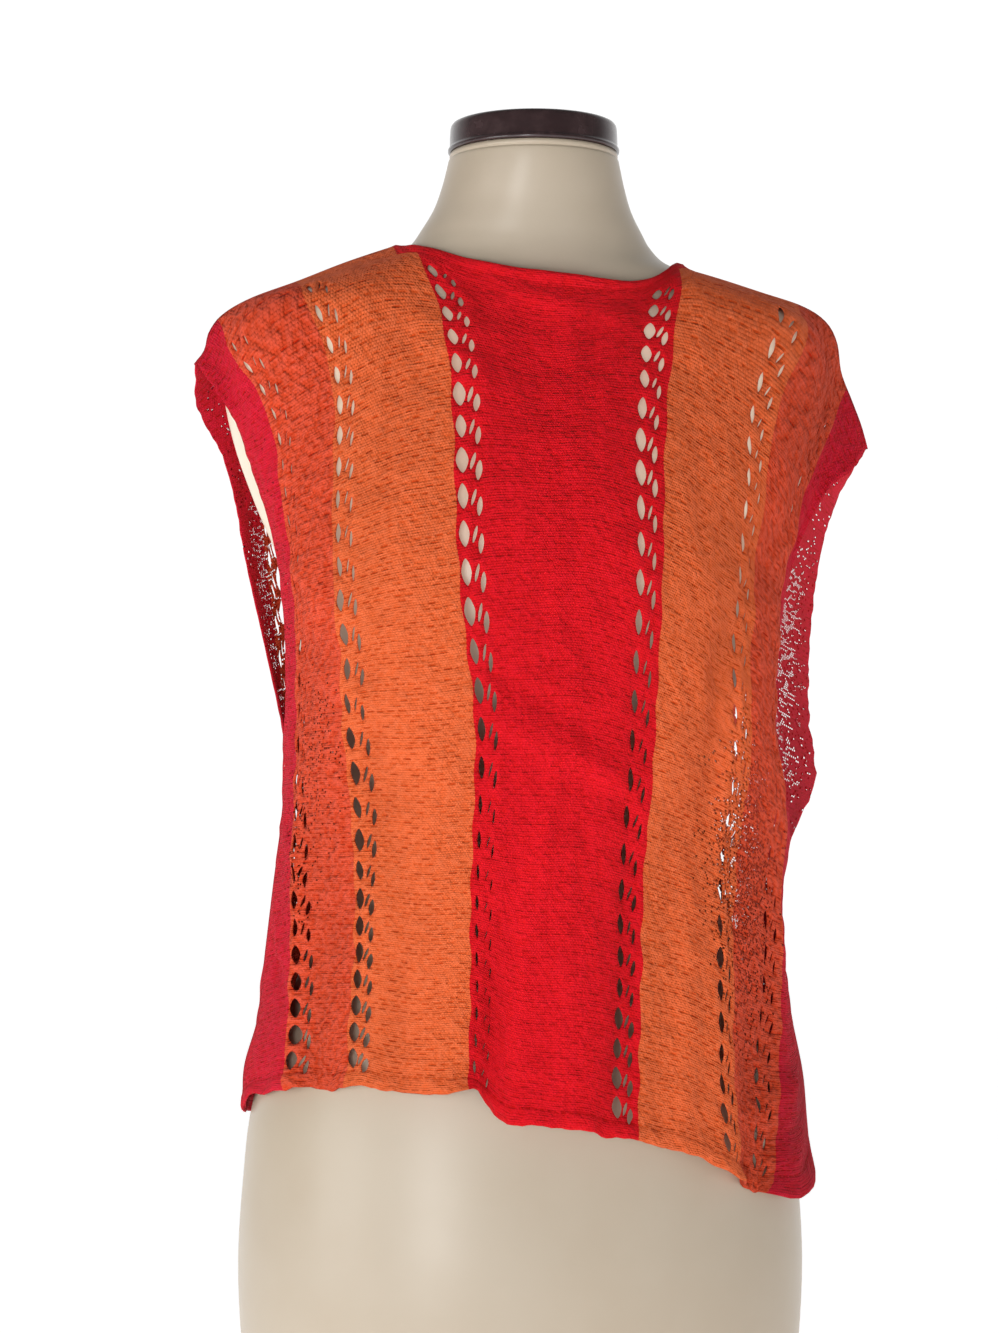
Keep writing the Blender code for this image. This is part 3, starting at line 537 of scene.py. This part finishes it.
# where the knit is open enough to see light through: cm across, share down, their reach, strength
looseZones = {
    "front": [(14.2, 0.61, 2.2, 0.11, 1.05), (16.6, 0.66, 2.2, 0.13, 0.9), (16.5, 0.52, 2.0, 0.08, 0.35),
              (-17.5, 0.55, 1.8, 0.09, 0.4), (-20.0, 0.66, 1.4, 0.1, 0.45), (-22.0, 0.3, 1.0, 0.14, 0.2)],
    "back": [(21.4, 0.36, 1.7, 0.24, 1.6), (-21.2, 0.3, 1.6, 0.17, 1.2), (16.5, 0.6, 5.0, 0.18, 1.3),
             (-16.5, 0.58, 5.0, 0.16, 0.75), (18.0, 0.3, 3.0, 0.2, 0.5), (-18.0, 0.3, 3.0, 0.2, 0.5)]}
# painted shade, where the cloth lies in shadow: cm across, share down, their reach, strength
paintedShadeZones = {
    "front": [(22.6, 0.90, 2.6, 0.13, 0.34), (18.6, 0.07, 2.8, 0.08, 0.24)],
    "back": []}


def wornShare(table, across, down):
    worn = [np.interp(down, [r[0] for r in table], [r[k] for r in table]) for k in (1, 2, 3, 4)]
    ends = np.array([0.0, *knit["edges"], halfWidth])
    places = np.concatenate([[0.0], np.cumsum(np.diff(ends) * worn)])
    return np.interp(np.abs(across), ends, places) / places[-1]


def topLine(panel, across):
    line = rounded([seamRight[0], *neckEdge[panel], seamLeft[0]])
    corner = knit["corner"]
    out = np.empty((len(across), 3))
    inner = np.abs(across) <= corner
    out[inner] = along(line, (across[inner] / corner + 1) / 2)
    for seam, part in ((seamRight, across < -corner), (seamLeft, across > corner)):
        out[part] = along(rounded(seam), (np.abs(across[part]) - corner) / (halfWidth - corner))
    return out


def edgePlace(rows, panel, down):
    fx, fy, bx, by, z = curve(rows, down)[0]
    if down >= knit["sideSeamFrom"] - 1e-9:
        return np.array([(fx + bx) / 2, (fy + by) / 2, z])
    return np.array([fx, fy, z] if panel == "front" else [bx, by, z])


def section(panel, down, across):
    mx, my, mz, *squares, rise = curve(middleLine[panel], down)[0]
    out = np.empty((len(across), 3))
    for rows, worn, square, part in ((edgeRight, knit["wornRight"], squares[0], across < 0),
                                     (edgeLeft, knit["wornLeft"], squares[1], across >= 0)):
        ex, ey, ez = edgePlace(rows, panel, down)
        a = np.linspace(0, 1, knit["arcSteps"]) ** 1.6 * np.pi / 2
        q = np.sin(a) ** (2 / square)
        line = np.stack([mx + (ex - mx) * q, ey + (my - ey) * np.cos(a) ** (2 / square),
                         mz + (ez - mz) * q**1.7 + rise * np.sin(np.pi * q**0.8) ** 2], 1)
        out[part] = along(line, wornShare(worn, across[part], down))
    column = 1 if panel == "front" else 2
    hemLift = np.interp(across, [r[0] for r in hemRise], [r[column] for r in hemRise])
    out[:, 2] += hemLift * smooth((down - 0.55) / 0.45)
    return out


# moves points out along the form's normals until they are clear of it
def pushClear(points, clear):
    clear = np.broadcast_to(clear, len(points))
    for i, p in enumerate(points):
        spot, normal, _, _ = formTree.find_nearest(Vector(p))
        if (Vector(p) - spot).dot(normal) < clear[i]:
            points[i] = spot + normal * clear[i]
    return points


def gridNormals(grid):
    n = np.cross(np.gradient(grid, axis=1), np.gradient(grid, axis=0))
    n /= np.linalg.norm(n, axis=2)[:, :, None]
    middle = grid.mean(axis=(0, 1))
    return n * np.sign((n * (grid - [middle[0], -0.01, middle[2]])).sum(axis=2).mean())


def foldHeight(fold, across, down):
    high, low, start, end, half, height = fold
    share = np.clip((down - start) / (end - start), 0, 1)
    fade = smooth(share * 1.6) * (smooth((1 - share) * 4) if end <= 0.95 else 1.0)
    return height * fade * np.exp(-((across - high - (low - high) * share) / half) ** 2)


def panelGrid(panel):
    across = np.linspace(-halfWidth, halfWidth, knit["gridAcross"])
    rows = np.linspace(0, 1, knit["gridDown"])
    lines = [topLine(panel, across)] + [section(panel, down, across) for down in knit["knots"][1:]]
    grid = curve([(down, *line.ravel()) for down, line in zip(knit["knots"], lines)], rows)
    grid = grid.reshape(len(rows), len(across), 3)
    for k, down in enumerate(rows[1:], 1):
        for table, end in ((edgeRight, 0), (edgeLeft, -1)):
            shift = edgePlace(table, panel, down) - grid[k, end]
            near = np.clip(1 - np.abs(across - across[end]) / knit["edgeReach"], 0, 1) ** 2
            grid[k] += near[:, None] * shift
    inside = np.clip((halfWidth - np.abs(across)) / knit["foldCalm"], 0, 1)
    for fold in folds[panel]:
        grid += (foldHeight(fold, across, rows[:, None]) * inside)[:, :, None] * gridNormals(grid)
    share = knit["smoothShare"]
    for _ in range(knit["settleRounds"]):
        for _ in range(knit["smoothRounds"]):
            around = (grid[:-2, 1:-1] + grid[2:, 1:-1] + grid[1:-1, :-2] + grid[1:-1, 2:]) / 4
            grid[1:-1, 1:-1] = grid[1:-1, 1:-1] * (1 - share) + around * share
        pushClear(grid.reshape(-1, 3), knit["gridClear"])
    return across, rows, grid


def readGrid(across, rows, grid, a, d):
    x = np.clip((a - across[0]) / (across[1] - across[0]), 0, len(across) - 1)
    y = np.clip((d - rows[0]) / (rows[1] - rows[0]), 0, len(rows) - 1)
    i, j = np.minimum(x.astype(int), len(across) - 2), np.minimum(y.astype(int), len(rows) - 2)
    u, v = (x - i)[:, None], (y - j)[:, None]

    def spline(p0, p1, p2, p3, t):
        return 0.5 * (2 * p1 + (p2 - p0) * t + (2 * p0 - 5 * p1 + 4 * p2 - p3) * t**2
                      + (3 * p1 - p0 - 3 * p2 + p3) * t**3)

    lines = []
    for dj in (-1, 0, 1, 2):
        jj = np.clip(j + dj, 0, len(rows) - 1)
        lines.append(spline(*[grid[jj, np.clip(i + di, 0, len(across) - 1)] for di in (-1, 0, 1, 2)], u))
    return spline(*lines, v)


# knit cloth: one lace repeat laid flat, 0 to 1 across and down
lace = {
    # centre across, centre down, half width, half height, slant, squareness
    "big": (0.225, 0.39, 0.190, 0.385, 0.04, 1.5),
    "slit": (0.535, 0.44, 0.062, 0.245, -0.30, 1.8),
    "small": (0.700, 0.70, 0.100, 0.295, -0.12, 1.6),
    "widths": [1.0, 0.90, 1.06, 0.82],      # the cells differ a little
    "corners": 22,
    "widthStep": 0.04,                      # openings are rounded to this, so that repeats share a layout
    "fill": 10, "stagger": 0.02, "clear": 0.045,        # points between the holes
    "seeds": {"front": 7, "back": 11},
    # how wide the holes stand open down each column, from the middle out: share down, width
    "open": {
        "front": {-1: [(0.0, 0.75), (0.1, 0.92), (0.46, 0.88), (0.58, 0.6), (0.66, 0.3), (0.94, 0.22),
                       (1.0, 0.4)],
                  -2: [(0.0, 0.4), (0.15, 0.55), (0.30, 0.6), (0.55, 0.7), (0.70, 0.9), (1.0, 1.1)],
                  -3: [(0.0, 0.35), (0.25, 0.35), (0.5, 0.45), (0.65, 0.8), (1.0, 1.05)],
                  1: [(0.0, 0.7), (0.1, 0.92), (0.34, 0.92), (0.46, 0.5), (0.75, 0.6), (0.88, 0.9),
                      (1.0, 1.0)],
                  2: [(0.0, 0.45), (0.3, 0.5), (0.45, 0.4), (0.58, 0.45), (0.75, 0.7), (1.0, 0.85)],
                  3: [(0.0, 0.25), (0.4, 0.3), (0.6, 0.45), (1.0, 0.6)]},
        "back": {-1: [(0.0, 0.9), (0.5, 0.95), (0.7, 0.6), (1.0, 0.8)],
                 -2: [(0.0, 0.5), (0.4, 0.7), (0.7, 0.8), (1.0, 0.9)],
                 -3: [(0.0, 0.7), (0.25, 1.0), (0.5, 1.0), (0.7, 0.7), (1.0, 0.8)],
                 1: [(0.0, 0.9), (0.45, 1.0), (0.6, 0.55), (1.0, 0.9)],
                 2: [(0.0, 0.5), (0.4, 0.65), (0.7, 0.8), (1.0, 0.9)],
                 3: [(0.0, 0.7), (0.25, 1.0), (0.5, 1.0), (0.7, 0.7), (1.0, 0.8)]}},
}


def holeOutline(hole, wide):
    cx, cy, halfWide, halfHigh, slant, square = hole
    halfHigh *= 0.55 + 0.45 * min(wide, 1.0)
    out = []
    for k in range(lace["corners"]):
        a = 2 * math.pi * k / lace["corners"]
        c, s = math.cos(a), math.sin(a)
        y = halfHigh * math.copysign(abs(s) ** (2 / square), s)
        out.append((cx + halfWide * wide * math.copysign(abs(c) ** (2 / square), c) + slant * y, cy + y))
    return out


def laceCell(wide, mirrored):
    steps = knit["cellSteps"]
    border = [(k / steps, 0.0) for k in range(steps)] + [(1.0, k / steps) for k in range(steps)]
    border += [(1 - k / steps, 1.0) for k in range(steps)] + [(0.0, 1 - k / steps) for k in range(steps)]
    points, links, outlines = list(border), [(k, (k + 1) % len(border)) for k in range(len(border))], []
    for name in ("big", "slit", "small"):
        outline = holeOutline(lace[name], wide)
        first = len(points)
        points += outline
        links += [(first + k, first + (k + 1) % len(outline)) for k in range(len(outline))]
        outlines.append(np.array(outline))

    def inHole(p):
        for ring in outlines:
            x, y = ring[:, 0], ring[:, 1]
            nx, ny = np.roll(x, -1), np.roll(y, -1)
            crossing = ((y > p[1]) != (ny > p[1])) & (p[0] < (nx - x) * (p[1] - y) / (ny - y + 1e-12) + x)
            if crossing.sum() % 2:
                return True
        return False

    fill = lace["fill"]
    for i in range(1, fill):
        for j in range(1, fill):
            p = (i / fill + lace["stagger"] * (j % 2), j / fill)
            clear = min(np.hypot(ring[:, 0] - p[0], ring[:, 1] - p[1]).min() for ring in outlines)
            if not inHole(p) and clear > lace["clear"]:
                points.append(p)
    verts, _, tris, _, _, _ = delaunay_2d_cdt([Vector(p) for p in points], links, [], 0, 1e-5)
    verts = np.array([tuple(v) for v in verts])
    tris = [t for t in tris if not inHole(verts[list(t)].mean(axis=0))]
    if mirrored:
        verts[:, 0] = 1 - verts[:, 0]
        tris = [tuple(reversed(t)) for t in tris]
    return verts, tris


def panelLayout(panel):
    rng = np.random.default_rng(lace["seeds"][panel])
    steps, repeats = knit["cellSteps"], knit["repeats"][panel]
    shares = (np.arange(repeats) + 0.5) / repeats
    heights = np.interp(shares, [row[0] for row in knit["pitch"]], [row[1] for row in knit["pitch"]])
    places = np.concatenate([[0.0], np.cumsum(heights)]) / heights.sum()
    cells = knit["laceFrom"] + (knit["laceTo"] - knit["laceFrom"]) * places
    fine = np.interp(np.linspace(0, repeats, repeats * steps + 1), np.arange(repeats + 1), cells)
    downs = np.concatenate([np.linspace(0, cells[0], knit["topRows"])[:-1], fine,
                            np.linspace(cells[-1], 1, knit["hemRows"])[1:]])
    points, faces, known = [], [], {}

    def point(a, d):
        key = (round(a, 5), round(d, 6))
        if key not in known:
            known[key] = len(points)
            points.append((a, d))
        return known[key]

    templates, column, start = {}, 0, -halfWidth
    for kind, width in knit["stripes"]:
        count = steps if kind == "lace" else max(2, round(width / knit["plainStep"]))
        columns = start + width * np.linspace(0, 1, count + 1)
        for r in range(len(downs) - 1):
            if kind == "lace" and downs[r] >= cells[0] - 1e-9 and downs[r + 1] <= cells[-1] + 1e-9:
                continue
            for a, b in zip(columns, columns[1:]):
                d, e = downs[r], downs[r + 1]
                faces.append((point(a, d), point(b, d), point(b, e), point(a, e)))
        if kind == "lace":
            place = (-3, -2, -1, 1, 2, 3)[column]
            column += 1
            for r in range(repeats):
                opening = np.interp(shares[r], *zip(*lace["open"][panel][place]))
                wide = opening * lace["widths"][rng.integers(len(lace["widths"]))]
                wide = round(wide / lace["widthStep"]) * lace["widthStep"]
                if wide not in templates:
                    templates[wide] = laceCell(wide, panel == "back")
                verts, tris = templates[wide]
                ids = []
                for x, y in verts:
                    ids.append(point(start + width * x, cells[r] + (cells[r + 1] - cells[r]) * y))
                faces += [tuple(ids[v] for v in t) for t in tris]
        start += width
    return np.array(points), faces


def creaseHeight(panel, flat):
    # flat places in cm, so that a crease keeps its width whatever its direction
    x, y = flat[:, 0], flat[:, 1] * knit["length"]
    out = np.zeros(len(flat))
    for x0, d0, x1, d1, half, height in creases[panel]:
        y0, y1 = d0 * knit["length"], d1 * knit["length"]
        dx, dy = x1 - x0, y1 - y0
        long = math.hypot(dx, dy)
        t = ((x - x0) * dx + (y - y0) * dy) / long**2
        bend = 0.5 * np.sin(t * 2.7 + x0)
        away = ((x - x0) * dy - (y - y0) * dx) / long + bend
        fade = smooth(t * 3 + 0.3) * smooth((1 - t) * 3 + (1.0 if d1 >= 0.99 else 0.3))
        out += height * np.exp(-(away / (half * (0.8 + 0.4 * np.clip(t, 0, 1)))) ** 2) * fade
    return out


def clothNoise(x, y, step, seed):
    # slow noise over the flat cloth, step in cm
    return np.array([noise.noise(Vector((i / step, j / step, seed))) for i, j in zip(x, y)])


def zoneSum(zones, flat):
    out = np.zeros(len(flat))
    for x, d, wide, high, strength in zones:
        out += strength * np.exp(-((flat[:, 0] - x) / wide) ** 2 - ((flat[:, 1] - d) / high) ** 2)
    return out


# cm from the middle, from the top, from the hem and from the side edge
def flatDistances(flat):
    away, cm = np.abs(flat[:, 0]), flat[:, 1] * knit["length"]
    return away, cm, knit["length"] - cm, halfWidth - away


# the armhole edges and the hem run a little unevenly
def unevenEdges(flat, seed):
    away, cm, fromHem, fromEdge = flatDistances(flat)
    x, d = flat[:, 0], flat[:, 1]
    out = flat.copy()

    def wander(across, down, step):
        return 1 + np.clip(2.2 * clothNoise(across, down, step, seed), -1, 1)

    reach, pull, step = knit["armholeWander"]
    nearArmhole = smooth((reach - fromEdge) / reach) * smooth((knit["sideSeamFrom"] - d) / 0.04)
    out[:, 0] -= np.sign(x) * pull * wander(x * 0, cm, step) * nearArmhole
    reach, pull, step = knit["hemWander"]
    out[:, 1] -= pull * wander(x, cm * 0, step) * smooth((reach - fromHem) / reach)
    return out


# how far the cloth lifts, how far the hem hangs, its thickness, and its tone: random dye changes with painted
# light and shade
def clothRelief(panel, flat, seed):
    away, cm, fromHem, fromEdge = flatDistances(flat)
    x, d = flat[:, 0], flat[:, 1]
    waves = knit["waves"]
    # creases and a slow unevenness, none at the seams
    calmSide, calmTop = knit["calm"]
    calm = np.clip(fromEdge / calmSide, 0, 1) * np.where(away > knit["corner"], np.clip(cm / calmTop, 0, 1), 1)
    lift = creaseHeight(panel, flat) * knit["creaseScale"]
    for name, squash, turn in (("slow", 0.5, 0), ("small", 0.7, 2)):
        step, high = waves[name]
        lift += clothNoise(x, cm * squash, step, seed + turn) * high
    lift *= calm
    # painted light and shade: hollows are painted a little darker, ridges a little lighter
    deep = sum(foldHeight(fold, x, d) for fold in folds[panel])
    (fullRidge, ridgeLightShade), (fullFold, foldLightShade) = knit["ridgeLightShade"], knit["foldLightShade"]
    tone = np.clip(lift / fullRidge, -1, 1) * ridgeLightShade + np.clip(deep / fullFold, -1, 1) * foldLightShade
    # the dye changes at random, and the shaded zones are painted shade
    step, share = waves["dye"]
    tone += clothNoise(x, cm, step, seed + 11) * share - zoneSum(paintedShadeZones[panel], flat)
    # the hem hangs in small waves
    step, high = waves["hemRipple"]
    lift += clothNoise(x, cm * 0.1, step, seed + 5) * high * smooth((3.5 - fromHem) / 3.5) * calm
    step, high = waves["hemHang"]
    hang = clothNoise(x, cm * 0, step, seed + 7) * high * smooth((6 - fromHem) / 6) * calm
    # turned hems stand proud, with the stitch line drawn in beside them
    hems = knit["hems"]
    neckPart = np.clip((knit["corner"] + 0.5 - away) / 0.5, 0, 1)
    band = (smooth((hems["hem"] - fromHem) / hems["soft"])
            + smooth((hems["neck"] - cm) / hems["soft"]) * neckPart)
    groove = (np.exp(-((fromHem - hems["hemLine"]) / hems["lineWide"]) ** 2)
              + np.exp(-((cm - hems["neckLine"]) / hems["lineWide"]) ** 2) * neckPart)
    arm = (d < knit["sideSeamFrom"]) * smooth((hems["arm"] - fromEdge) / hems["soft"])
    lift += band * knit["bandProud"] - groove * knit["grooveDeep"] + arm * knit["armProud"]
    thick = knit["thick"] + band * (knit["hemThick"] - knit["thick"]) + arm * knit["armThick"]
    return lift, hang, thick, tone


def rimOf(faces):
    edges = dict.fromkeys((p, q) for f in faces for p, q in zip(f, f[1:] + f[:1]))
    return [(p, q) for p, q in edges if (q, p) not in edges]


# the middle of the cloth, half its thickness as vectors, and the tone: the yarn's random dye changes with
# painted light and shade
def clothShape(panel, flat, rim):
    across, rows, grid = panelGrid(panel)
    away, d = np.abs(flat[:, 0]), flat[:, 1]
    seed = 3.0 if panel == "front" else 9.0
    uneven = unevenEdges(flat, seed)
    middle = readGrid(across, rows, grid, uneven[:, 0], uneven[:, 1])
    outward = readGrid(across, rows, gridNormals(grid), flat[:, 0], flat[:, 1])
    atTop = (d == 0) & (away > knit["corner"])
    atSide = (away > halfWidth - 1e-6) & (d > knit["sideSeamFrom"])
    seam = atTop | atSide
    outward[seam, 1] = 0.0
    outward /= np.linalg.norm(outward, axis=1)[:, None]
    lift, hang, thick, tone = clothRelief(panel, flat, seed)
    middle += outward * lift[:, None]
    middle[:, 2] += hang
    onRim = np.zeros(len(flat), bool)
    onRim[np.array(rim).ravel()] = True
    inLace = onRim & (away < halfWidth - 1e-6) & (d > 1e-9) & (d < 1 - 1e-9)
    thick[inLace] = knit["rimThick"]
    thick[onRim & ~inLace & ~seam] *= knit["edgeThin"]
    # both panels take the same line at their seams
    middle[atTop] = pushClear(topLine(panel, flat[atTop, 0]), knit["seamClear"])
    for i in np.flatnonzero(atSide):
        middle[i] = edgePlace(edgeRight if flat[i, 0] < 0 else edgeLeft, panel, flat[i, 1])
    middle[~seam] = pushClear(middle[~seam], (knit["formClear"] + thick * 0.5)[~seam])
    middle[seam, 1] += knit["seamGap"] * (-1 if panel == "front" else 1)
    return middle, outward * thick[:, None] / 2, tone


# the flat cloth as UV in metres, for the material
def layCloth(piece, flat):
    corners = np.empty(len(piece.data.loops), int)
    piece.data.loops.foreach_get("vertex_index", corners)
    uv = np.column_stack([flat[:, 0], flat[:, 1] * knit["length"]])[corners % len(flat)] / 100
    piece.data.uv_layers.new(name="cloth").data.foreach_set("uv", uv.ravel())


# what the material reads at each point of the outer and the inner side
def markCloth(piece, panel, flat, faces, tone):
    away, count = np.abs(flat[:, 0]), len(flat)
    places = np.empty(count)        # where the stitches lie across the worn cloth, in cm
    for k, (x, down) in enumerate(flat):
        table = knit["wornRight"] if x < 0 else knit["wornLeft"]
        places[k] = math.copysign(wornShare(table, np.array([x]), down)[0], x) * knit["wornHalf"]
    # painted light: the inner side glows where the cloth hangs free, as if light came through
    (start, startSoft), (end, endSoft) = knit["litFrom"], knit["litTo"]
    lit = smooth((away - start) / startSoft) * smooth((end - flat[:, 1]) / endSoft) * (flat[:, 0] > 0)
    loose = np.clip(zoneSum(looseZones[panel], flat), 0, knit["loosest"])
    # painted shade: the inner side's tone is darker, as if in shadow
    for name, outer, inner in (("worn", places, places), ("loose", loose, loose), ("lit", lit * 0, lit),
                               ("tone", tone, tone - knit["innerShade"])):
        layer = piece.data.attributes.new(name, "FLOAT", "POINT")
        layer.data.foreach_set("value", np.concatenate([outer, inner]))
    # only the loose parts have holes at their stitches
    openFaces = [int(max(loose[v % count] for v in face) > knit["openFrom"]) for face in faces]
    piece.data.polygons.foreach_set("material_index", openFaces)


def makePanel(panel, materials):
    flat, faces = panelLayout(panel)
    rim = rimOf(faces)
    middle, half, tone = clothShape(panel, flat, rim)
    count = len(flat)
    walls = [(q, p, p + count, q + count) for p, q in rim]
    solid = [tuple(f) for f in faces] + [tuple(v + count for v in reversed(f)) for f in faces] + walls
    a, b, c = faces[0][:3]
    if np.cross(middle[b] - middle[a], middle[c] - middle[a]) @ half[a] < 0:
        solid = [tuple(reversed(f)) for f in solid]
    made = addPiece(panel + "Knit", np.concatenate([middle + half, middle - half]), solid, materials)
    layCloth(made, flat)
    markCloth(made, panel, flat, solid, tone)
    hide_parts(panel + "_panel")
    print(panel, "panel ready:", len(solid), "faces")
    return made


# knit cloth: material
yarn = {
    "red": (0.83, 0.009, 0.018),
    "orange": (0.92, 0.165, 0.052),
    "rust": (0.86, 0.100, 0.045),
    "crimson": (0.74, 0.013, 0.037),
    "stitch": (0.20, 0.155),        # cm wide, cm high
    "dash": (0.78, 0.36),           # purl dashes, cm apart across and down
    "dashDark": (0.25, 0.27),       # how dark they are, and how much more on the orange and the rust
    "gapWarmth": 0.34,              # the share of the gaps' shade that dims their red
    "lumps": (0.5, 0.1, 0.8),       # how lumpy the red yarn is, and how much more the orange and the rust
    "stripeTooth": 0.07,            # cm that a stripe's edge steps in and out
    "hemLine": 1.15, "neckLine": 1.05, "hemStitch": 0.42,      # cm from the edge, and between stitches
    "openShare": 0.42,              # the share of open stitches where the knit is loose
    "openSize": (0.34, 0.40),       # half the size of an open stitch's hole, as a share of the stitch
    "glow": 0.36, "glowTint": (1.0, 0.45, 0.5),
    "roughness": 0.90, "bump": (0.9, 0.0012),
    "fuzz": {"Specular IOR Level": 0.10, "Sheen Weight": 0.06, "Sheen Roughness": 0.4,
             "Sheen Tint": (1.0, 0.45, 0.4, 1.0)},
}


def knitCloth(name, withHoles):
    cloth = Shader(bpy.data.materials.new(name))

    def chanceAt(first, second):
        pair = cloth.node("ShaderNodeCombineXYZ", {}, {0: first, 1: second})
        return cloth.node("ShaderNodeTexWhiteNoise", {"noise_dimensions": "2D"}, {"Vector": pair})

    flatPlace = cloth.node("ShaderNodeUVMap", {"uv_map": "cloth"})
    x, y = [axis * 100 for axis in cloth.node("ShaderNodeSeparateXYZ", {}, {0: flatPlace}, out=(0, 1))]
    worn = cloth.attribute("worn")
    away = x.size()
    down = y + ((worn * 0.9).sine() * 0.05 + (worn * 0.37 + 1.3).sine() * 0.08)     # rows sway a little
    wide, high = yarn["stitch"]
    row = (down / high).floor()
    shifted = worn / wide + (row * 0.5).fract() + (y * 0.8).sine() * 0.3
    chance = chanceAt(shifted.floor(), row)
    fu, fv = shifted.fract() - 0.5, (down / high).fract() - 0.5
    bead = 1 - fu * fu * 3.2 - fv * fv * 3.0
    rib = 1 - fv.size().between(0.10, 0.45)
    mottle = cloth.noise(flatPlace, 260.0, 2.0, 0.6, "2D")
    lump = cloth.noise(flatPlace, 190.0, 1.0, 0.5, "2D")
    # short purl dashes, shifted like bricks from row to row
    dashWide, dashHigh = yarn["dash"]
    dashRow = (down / dashHigh).floor()
    dashShift = worn / dashWide + (dashRow * 0.5).fract() + chanceAt(dashRow, 7.0) * 0.3
    dashChance = chanceAt(dashShift.floor(), dashRow)
    du = (dashShift.fract() - 0.5).size()
    dv = ((down / dashHigh).fract() - 0.35 - dashChance * 0.3).size()
    dash = (1 - dv.between(0.07, 0.21)) * (1 - du.between(0.24, 0.42)) * dashChance.between(0.25, 0.55)
    dash = dash * (0.35 + mottle.between(0.35, 0.6) * 0.65)
    # turned hems are plain, with a row of stitches beside them
    atNeck = away < knit["corner"] + 0.3
    neckBand = (y < yarn["neckLine"]) * atNeck
    hemStart = knit["length"] - yarn["hemLine"]
    band = neckBand + (y > hemStart)
    stitchLine = ((y - yarn["neckLine"]).size() < 0.05) * atNeck * 0.6 + ((y - hemStart).size() < 0.07)
    stitchLine = stitchLine * ((worn / yarn["hemStitch"]).fract() < 0.55)
    edge = away + ((y / 0.34).fract() - 0.5).size() * yarn["stripeTooth"] + (y * 1.7).sine() * 0.07
    atOrange, atRust, atCrimson = [edge > place for place in knit["edges"]]
    stripe = cloth.mix(atOrange * (1 - neckBand), yarn["red"], yarn["orange"])
    stripe = cloth.mix(atRust, stripe, yarn["rust"])
    stripe = cloth.mix(atCrimson, stripe, yarn["crimson"])
    # the rust and orange yarns are lumpier than the red and the crimson
    lumpRed, lumpOrange, lumpRust = yarn["lumps"]
    lumpy = lumpRed + atOrange * lumpOrange + (atRust - atCrimson) * lumpRust
    # painted shade in the hollows between the lumps
    hollowShade = (1 - lump.between(0.30, 0.60)) * lumpy * 0.22
    dashRed, dashOrange = yarn["dashDark"]
    dashShade = dash * (dashRed + atOrange * dashOrange) * (1 - band * 0.75)
    # painted shade between the lumps and between the stitch rows, with the purl dashes, the stitch line and
    # random tone
    shade = 1.06 - dashShade - hollowShade - (1 - rib) * 0.08 - stitchLine * 0.3
    shade = shade * (0.94 + chance * 0.12) * (0.85 + mottle * 0.30)
    # the tone attribute brings random dye changes and painted light and shade; the gaps between stitches keep
    # more of their red
    light = cloth.attribute("tone") + 1
    warm = 1 - (1 - shade) * yarn["gapWarmth"]
    shades = {0: light * warm, 1: light * shade, 2: light * shade * shade}
    dyed = cloth.mix(1.0, stripe, cloth.node("ShaderNodeCombineColor", {}, shades), "MULTIPLY")
    height = bead * 0.35 - dash * 0.7 + mottle * 1.0 + lump * lumpy * 2.8 - band * 0.3 - stitchLine * 0.9
    sockets = {"Base Color": dyed, "Roughness": yarn["roughness"], "Normal": cloth.bump(*yarn["bump"], height),
               **yarn["fuzz"]}
    if withHoles:
        # light comes through the open stitches; the emission is painted light, a glow in the cloth that hangs
        # free
        holeWide, holeHigh = yarn["openSize"]
        isOpen = chance > 1 - cloth.attribute("loose") * yarn["openShare"]
        sockets["Alpha"] = 1 - isOpen * (fu.size() < holeWide) * (fv.size() < holeHigh)
        seenThrough = cloth.mix(0.10, dyed, yarn["glowTint"])
        glow = cloth.attribute("lit") * yarn["glow"]
        sockets["Emission Color"] = cloth.mix(glow, (0.0, 0.0, 0.0), seenThrough)
        sockets["Emission Strength"] = 1.0
    return cloth.finish(sockets)


knitPair = [knitCloth("stripedKnit", False), knitCloth("openKnit", True)]
frontKnit = makePanel("front", knitPair)
backKnit = makePanel("back", knitPair)
